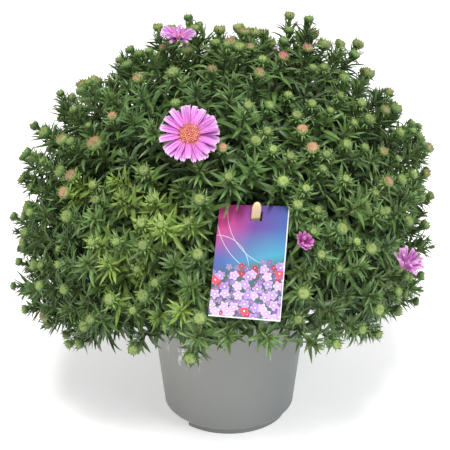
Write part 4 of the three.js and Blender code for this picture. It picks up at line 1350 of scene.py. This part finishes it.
def blossomsOver(tree, colour, vector, scale, top, brightness, coralFrom):
    look = cardLook
    cells = node(tree, "ShaderNodeTexVoronoi", {"voronoi_dimensions": "2D"}, Vector=vector, Scale=scale,
                 Randomness=0.8)
    away, centre = cells.outputs["Distance"], cells.outputs["Position"]
    toCentre = node(tree, "ShaderNodeVectorMath", {"operation": "SUBTRACT"}, i0=vector, i1=centre)
    offset = node(tree, "ShaderNodeSeparateXYZ", i0=toCentre.outputs[0])
    angle = maths(tree, "ARCTAN2", offset.outputs[1], offset.outputs[0])
    turn, chance, tint = channels(tree, cells.outputs["Color"])
    lobes = maths(tree, "SINE", scaled(tree, angle, look["petals"], maths(tree, "MULTIPLY", turn, 6.0)))
    middle = node(tree, "ShaderNodeSeparateXYZ", i0=centre)
    height = scaled(tree, middle.outputs[0], look["topSlant"], middle.outputs[1])
    inGarden = maths(tree, "LESS_THAN", height, top)
    petal = maths(tree, "LESS_THAN", away, scaled(tree, lobes, *look["petalDepth"]))
    petal = maths(tree, "MULTIPLY", petal, inGarden)
    heart = maths(tree, "MULTIPLY", maths(tree, "LESS_THAN", away, look["heartRadius"]), inGarden)
    isCoral = maths(tree, "GREATER_THAN", chance, coralFrom)
    blossom = mixColour(tree, tint, look["lavender"], look["pale"])
    blossom = mixColour(tree, isCoral, blossom, look["coral"])
    more, least = look["petalShade"]
    blossom = shaded(tree, blossom, scaled(tree, away, more * brightness, least * brightness))
    red, green, blue = look["heart"]
    colour = mixColour(tree, petal, colour, blossom)
    return mixColour(tree, heart, colour, (red * brightness, green * brightness, blue))


def arcsOn(tree, across, up):  # 1 on the thin arcs, 0 elsewhere
    lines = []
    for x, y, radius in cardLook["arcs"]:
        dx = maths(tree, "MULTIPLY", maths(tree, "SUBTRACT", across, x), card["width"] / card["height"])
        dy = maths(tree, "SUBTRACT", up, y)
        squares = maths(tree, "ADD", maths(tree, "MULTIPLY", dx, dx), maths(tree, "MULTIPLY", dy, dy))
        off = maths(tree, "ABSOLUTE", maths(tree, "SUBTRACT", maths(tree, "SQRT", squares), radius))
        lines.append(maths(tree, "LESS_THAN", off, cardLook["arcHalf"]))
    first, second, third = lines
    return maths(tree, "MAXIMUM", maths(tree, "MAXIMUM", first, second), third)


def cardMaterial():
    look = cardLook
    material, tree, shader = newMaterial("cardPrint", look["roughness"], Specular_IOR_Level=look["gloss"])
    across, up = patternPlace(tree)
    # the ground: rose at the upper left, violet at the right, sea blue under them
    factor, shift = look["slant"]
    slant = maths(tree, "ADD", scaled(tree, up, factor, across), shift)
    sky = ramp(tree, slant, zip(look["skyStops"], (look["rose"], look["violet"], look["sky"])))
    low = ramp(tree, across, zip(look["lowStops"], (look["sky"], look["sea"])))
    colour = mixColour(tree, mapped(tree, up, *look["skyAt"]), low, sky)
    arcs = maths(tree, "MULTIPLY", arcsOn(tree, across, up), look["arcShare"])
    colour = mixColour(tree, arcs, colour, look["white"])
    # blossoms of five petals over the lower part, a small dim layer behind a larger bright one
    inHeights = maths(tree, "MULTIPLY", across, card["width"] / card["height"])
    plane = node(tree, "ShaderNodeCombineXYZ", i0=inHeights, i1=up).outputs[0]
    garden = mapped(tree, scaled(tree, across, look["gardenSlant"], up), *look["gardenAt"])
    ground = mixColour(tree, noiseOn(tree, plane, look["groundScale"]), look["shade"], look["leaves"])
    colour = mixColour(tree, maths(tree, "MULTIPLY", garden, look["gardenShare"]), colour, ground)
    for layer in look["layers"]:
        colour = blossomsOver(tree, colour, plane, *layer)
    # a narrow white edge, and a white back
    right, bottom = look["margins"]
    white = maths(tree, "GREATER_THAN", across, right)
    white = maths(tree, "MAXIMUM", white, maths(tree, "LESS_THAN", up, bottom))
    front, _, _ = channels(tree, toneColour(tree))
    white = maths(tree, "MAXIMUM", white, maths(tree, "LESS_THAN", front, 0.05))
    tree.links.new(mixColour(tree, white, colour, look["white"]), shader.inputs["Base Color"])
    bumpBy(tree, shader, noiseAt(tree, 1500, 2), *look["bump"])
    return material


def makeCard():
    bm = bmesh.new()
    bmesh.ops.create_grid(bm, x_segments=cardForm["across"], y_segments=cardForm["up"], size=0.5)
    gap = cardForm["slotGap"]
    half = (stick["width"] / 2 + gap) / card["width"]
    deep = (stick["thickness"] + 2 * gap) / card["height"]
    x, y = card["slotPlace"]
    middles = {f: f.calc_center_median() for f in bm.faces}
    cut = [f for f, at in middles.items() if abs(at.x - x) < half and abs(at.y + 0.5 - y) < deep]
    bmesh.ops.delete(bm, geom=cut, context="FACES")
    for v in bm.verts:
        curl = cardForm["curl"] * math.sin(math.pi * (v.co.y + 0.5)) * (abs(v.co.x) * 2) ** 2
        v.co = cardPoint(v.co.x, v.co.y + 0.5, card["thickness"] / 2 - curl)
    bmesh.ops.recalc_face_normals(bm, faces=bm.faces)
    if bm.faces[:][0].normal.dot(cardOut) < 0:
        bmesh.ops.reverse_faces(bm, faces=bm.faces)
    bmesh.ops.solidify(bm, geom=bm.faces[:], thickness=card["thickness"] * cardForm["sheet"])
    uv, front = [], []
    for v in bm.verts:
        toCard = v.co - card["foot"]
        across, up = toCard.dot(cardRight) / card["width"], toCard.dot(cardUp) / card["height"]
        uv.append((across + 0.5, up))
        front.append(float((v.co - cardPoint(across, up, 0)).dot(cardOut) > 0))
    pile = newPile()
    addCopy(pile, shapeOf(bm, uv), Matrix.Identity(4), np.stack([front] * 3, axis=1))
    made = finishPile(pile, "picture_card", [cardMaterial()], cardForm["sharpAngle"])
    dress(made, "card_print", "card")


makeCard()


# Stick: a flat strip of pale wood with a round end
stickForm = {"sides": 28, "endFull": 1.8, "endNarrow": 0.9, "edgeRound": 0.3, "sharpAngle": 35}
stickLook = {
    "dark": (0.66, 0.48, 0.27), "light": (0.84, 0.66, 0.42), "between": (0.3, 0.7),
    "stretch": (28, 1.2, 1), "grainScale": 3, "bump": (0.3, 0.0003), "roughness": 0.65,
}


def stickMaterial():
    look = stickLook
    material, tree, shader = newMaterial("paleWood", look["roughness"])
    uv = node(tree, "ShaderNodeUVMap", {"uv_map": "pattern"})
    stretched = node(tree, "ShaderNodeMapping", Vector=uv.outputs[0], Scale=look["stretch"])
    grain = noiseOn(tree, stretched.outputs[0], look["grainScale"])
    colour = ramp(tree, grain, zip(look["between"], (look["dark"], look["light"])))
    tree.links.new(colour, shader.inputs["Base Color"])
    bumpBy(tree, shader, grain, *look["bump"])
    return material


def makeStick():
    across = (Vector((1, 0, 0)) - stickAlong * stickAlong.x).normalized()
    through = across.cross(stickAlong)
    half, thick = stick["width"] / 2, stick["thickness"]
    end = stickLength - half
    bm = bmesh.new()
    ring = bmesh.ops.create_circle(bm, cap_ends=False, segments=stickForm["sides"], radius=half)["verts"]
    bmesh.ops.translate(bm, verts=ring, vec=(0, end, 0))
    for v in ring:
        if v.co.y < end - 1e-4:  # the lower half circle becomes the straight foot
            v.co.y = 0
            v.co.x = half if v.co.x > 0 else -half
        else:
            v.co.y = end + half - stickForm["endFull"] * (half + end - v.co.y)
            v.co.x *= stickForm["endNarrow"]
    bmesh.ops.remove_doubles(bm, verts=bm.verts, dist=1e-4)
    face = bmesh.ops.contextual_create(bm, geom=bm.edges[:])["faces"]
    lifted = bmesh.ops.extrude_face_region(bm, geom=face)
    top = [g for g in lifted["geom"] if isinstance(g, bmesh.types.BMVert)]
    bmesh.ops.translate(bm, verts=bm.verts, vec=(0, 0, -thick / 2))
    bmesh.ops.translate(bm, verts=top, vec=(0, 0, thick))
    rims = [e for e in bm.edges if abs(e.verts[0].co.z - e.verts[1].co.z) < 1e-5]
    bmesh.ops.bevel(bm, geom=rims, offset=stickForm["edgeRound"], segments=2, profile=0.5, affect="EDGES",
                    offset_type="OFFSET", material=-1)
    bmesh.ops.recalc_face_normals(bm, faces=bm.faces)
    uv = [(0.5 + v.co.x / stick["width"], v.co.y / stick["width"]) for v in bm.verts]
    pile = newPile()
    addCopy(pile, shapeOf(bm, uv), placed(across, stickAlong, through, stick["foot"]), middleTone)
    made = finishPile(pile, "card_strip", [stickMaterial()], stickForm["sharpAngle"])
    dress(made, "stick_wood", "card_stick")


makeStick()
print("card done")


# Floor and light
studio = {
    "floor": (0.9, 0.9, 0.9), "floorSize": 20, "floorGlow": 0.45, "world": (1.0, 1.0, 1.0),
    "worldStrength": 0.45,
    "key": {"place": (-0.1, -1.5, 2.6), "target": (0, 0, 0.2), "size": 0.9, "power": 104,
            "colour": (1.0, 0.98, 0.95)},
    "fill": {"place": (1.8, -1.4, 1.5), "target": (0, 0, 0.15), "size": 1.2, "power": 26,
             "colour": (0.95, 0.98, 1.0)},
}


def areaLight(name):
    light = studio[name]
    data = bpy.data.lights.new(name, "AREA")
    data.shape = "SQUARE"
    data.size = light["size"]
    data.energy = light["power"]
    data.color = light["colour"]
    obj = showObject(name, data)
    obj.location = light["place"]
    look = Vector(light["target"]) - Vector(light["place"])
    obj.rotation_euler = look.to_track_quat("-Z", "Y").to_euler()


def makeFloor():
    bm = bmesh.new()
    bmesh.ops.create_grid(bm, x_segments=1, y_segments=1, size=studio["floorSize"])
    mesh = bpy.data.meshes.new("floor")
    bm.to_mesh(mesh)
    bm.free()
    material, _, shader = newMaterial("paleFloor", 0.8)
    shader.inputs["Base Color"].default_value = (*studio["floor"], 1)
    shader.inputs["Emission Color"].default_value = (1, 1, 1, 1)
    shader.inputs["Emission Strength"].default_value = studio["floorGlow"]
    mesh.materials.append(material)
    showObject("floor", mesh)


def makeWorld():
    world = bpy.data.worlds.new("studio")
    world.use_nodes = True
    background = world.node_tree.nodes["Background"]
    background.inputs[0].default_value = (*studio["world"], 1)
    background.inputs[1].default_value = studio["worldStrength"]
    bpy.context.scene.world = world
    bpy.context.scene.view_settings.view_transform = "Standard"


makeFloor()
makeWorld()
areaLight("key")
areaLight("fill")
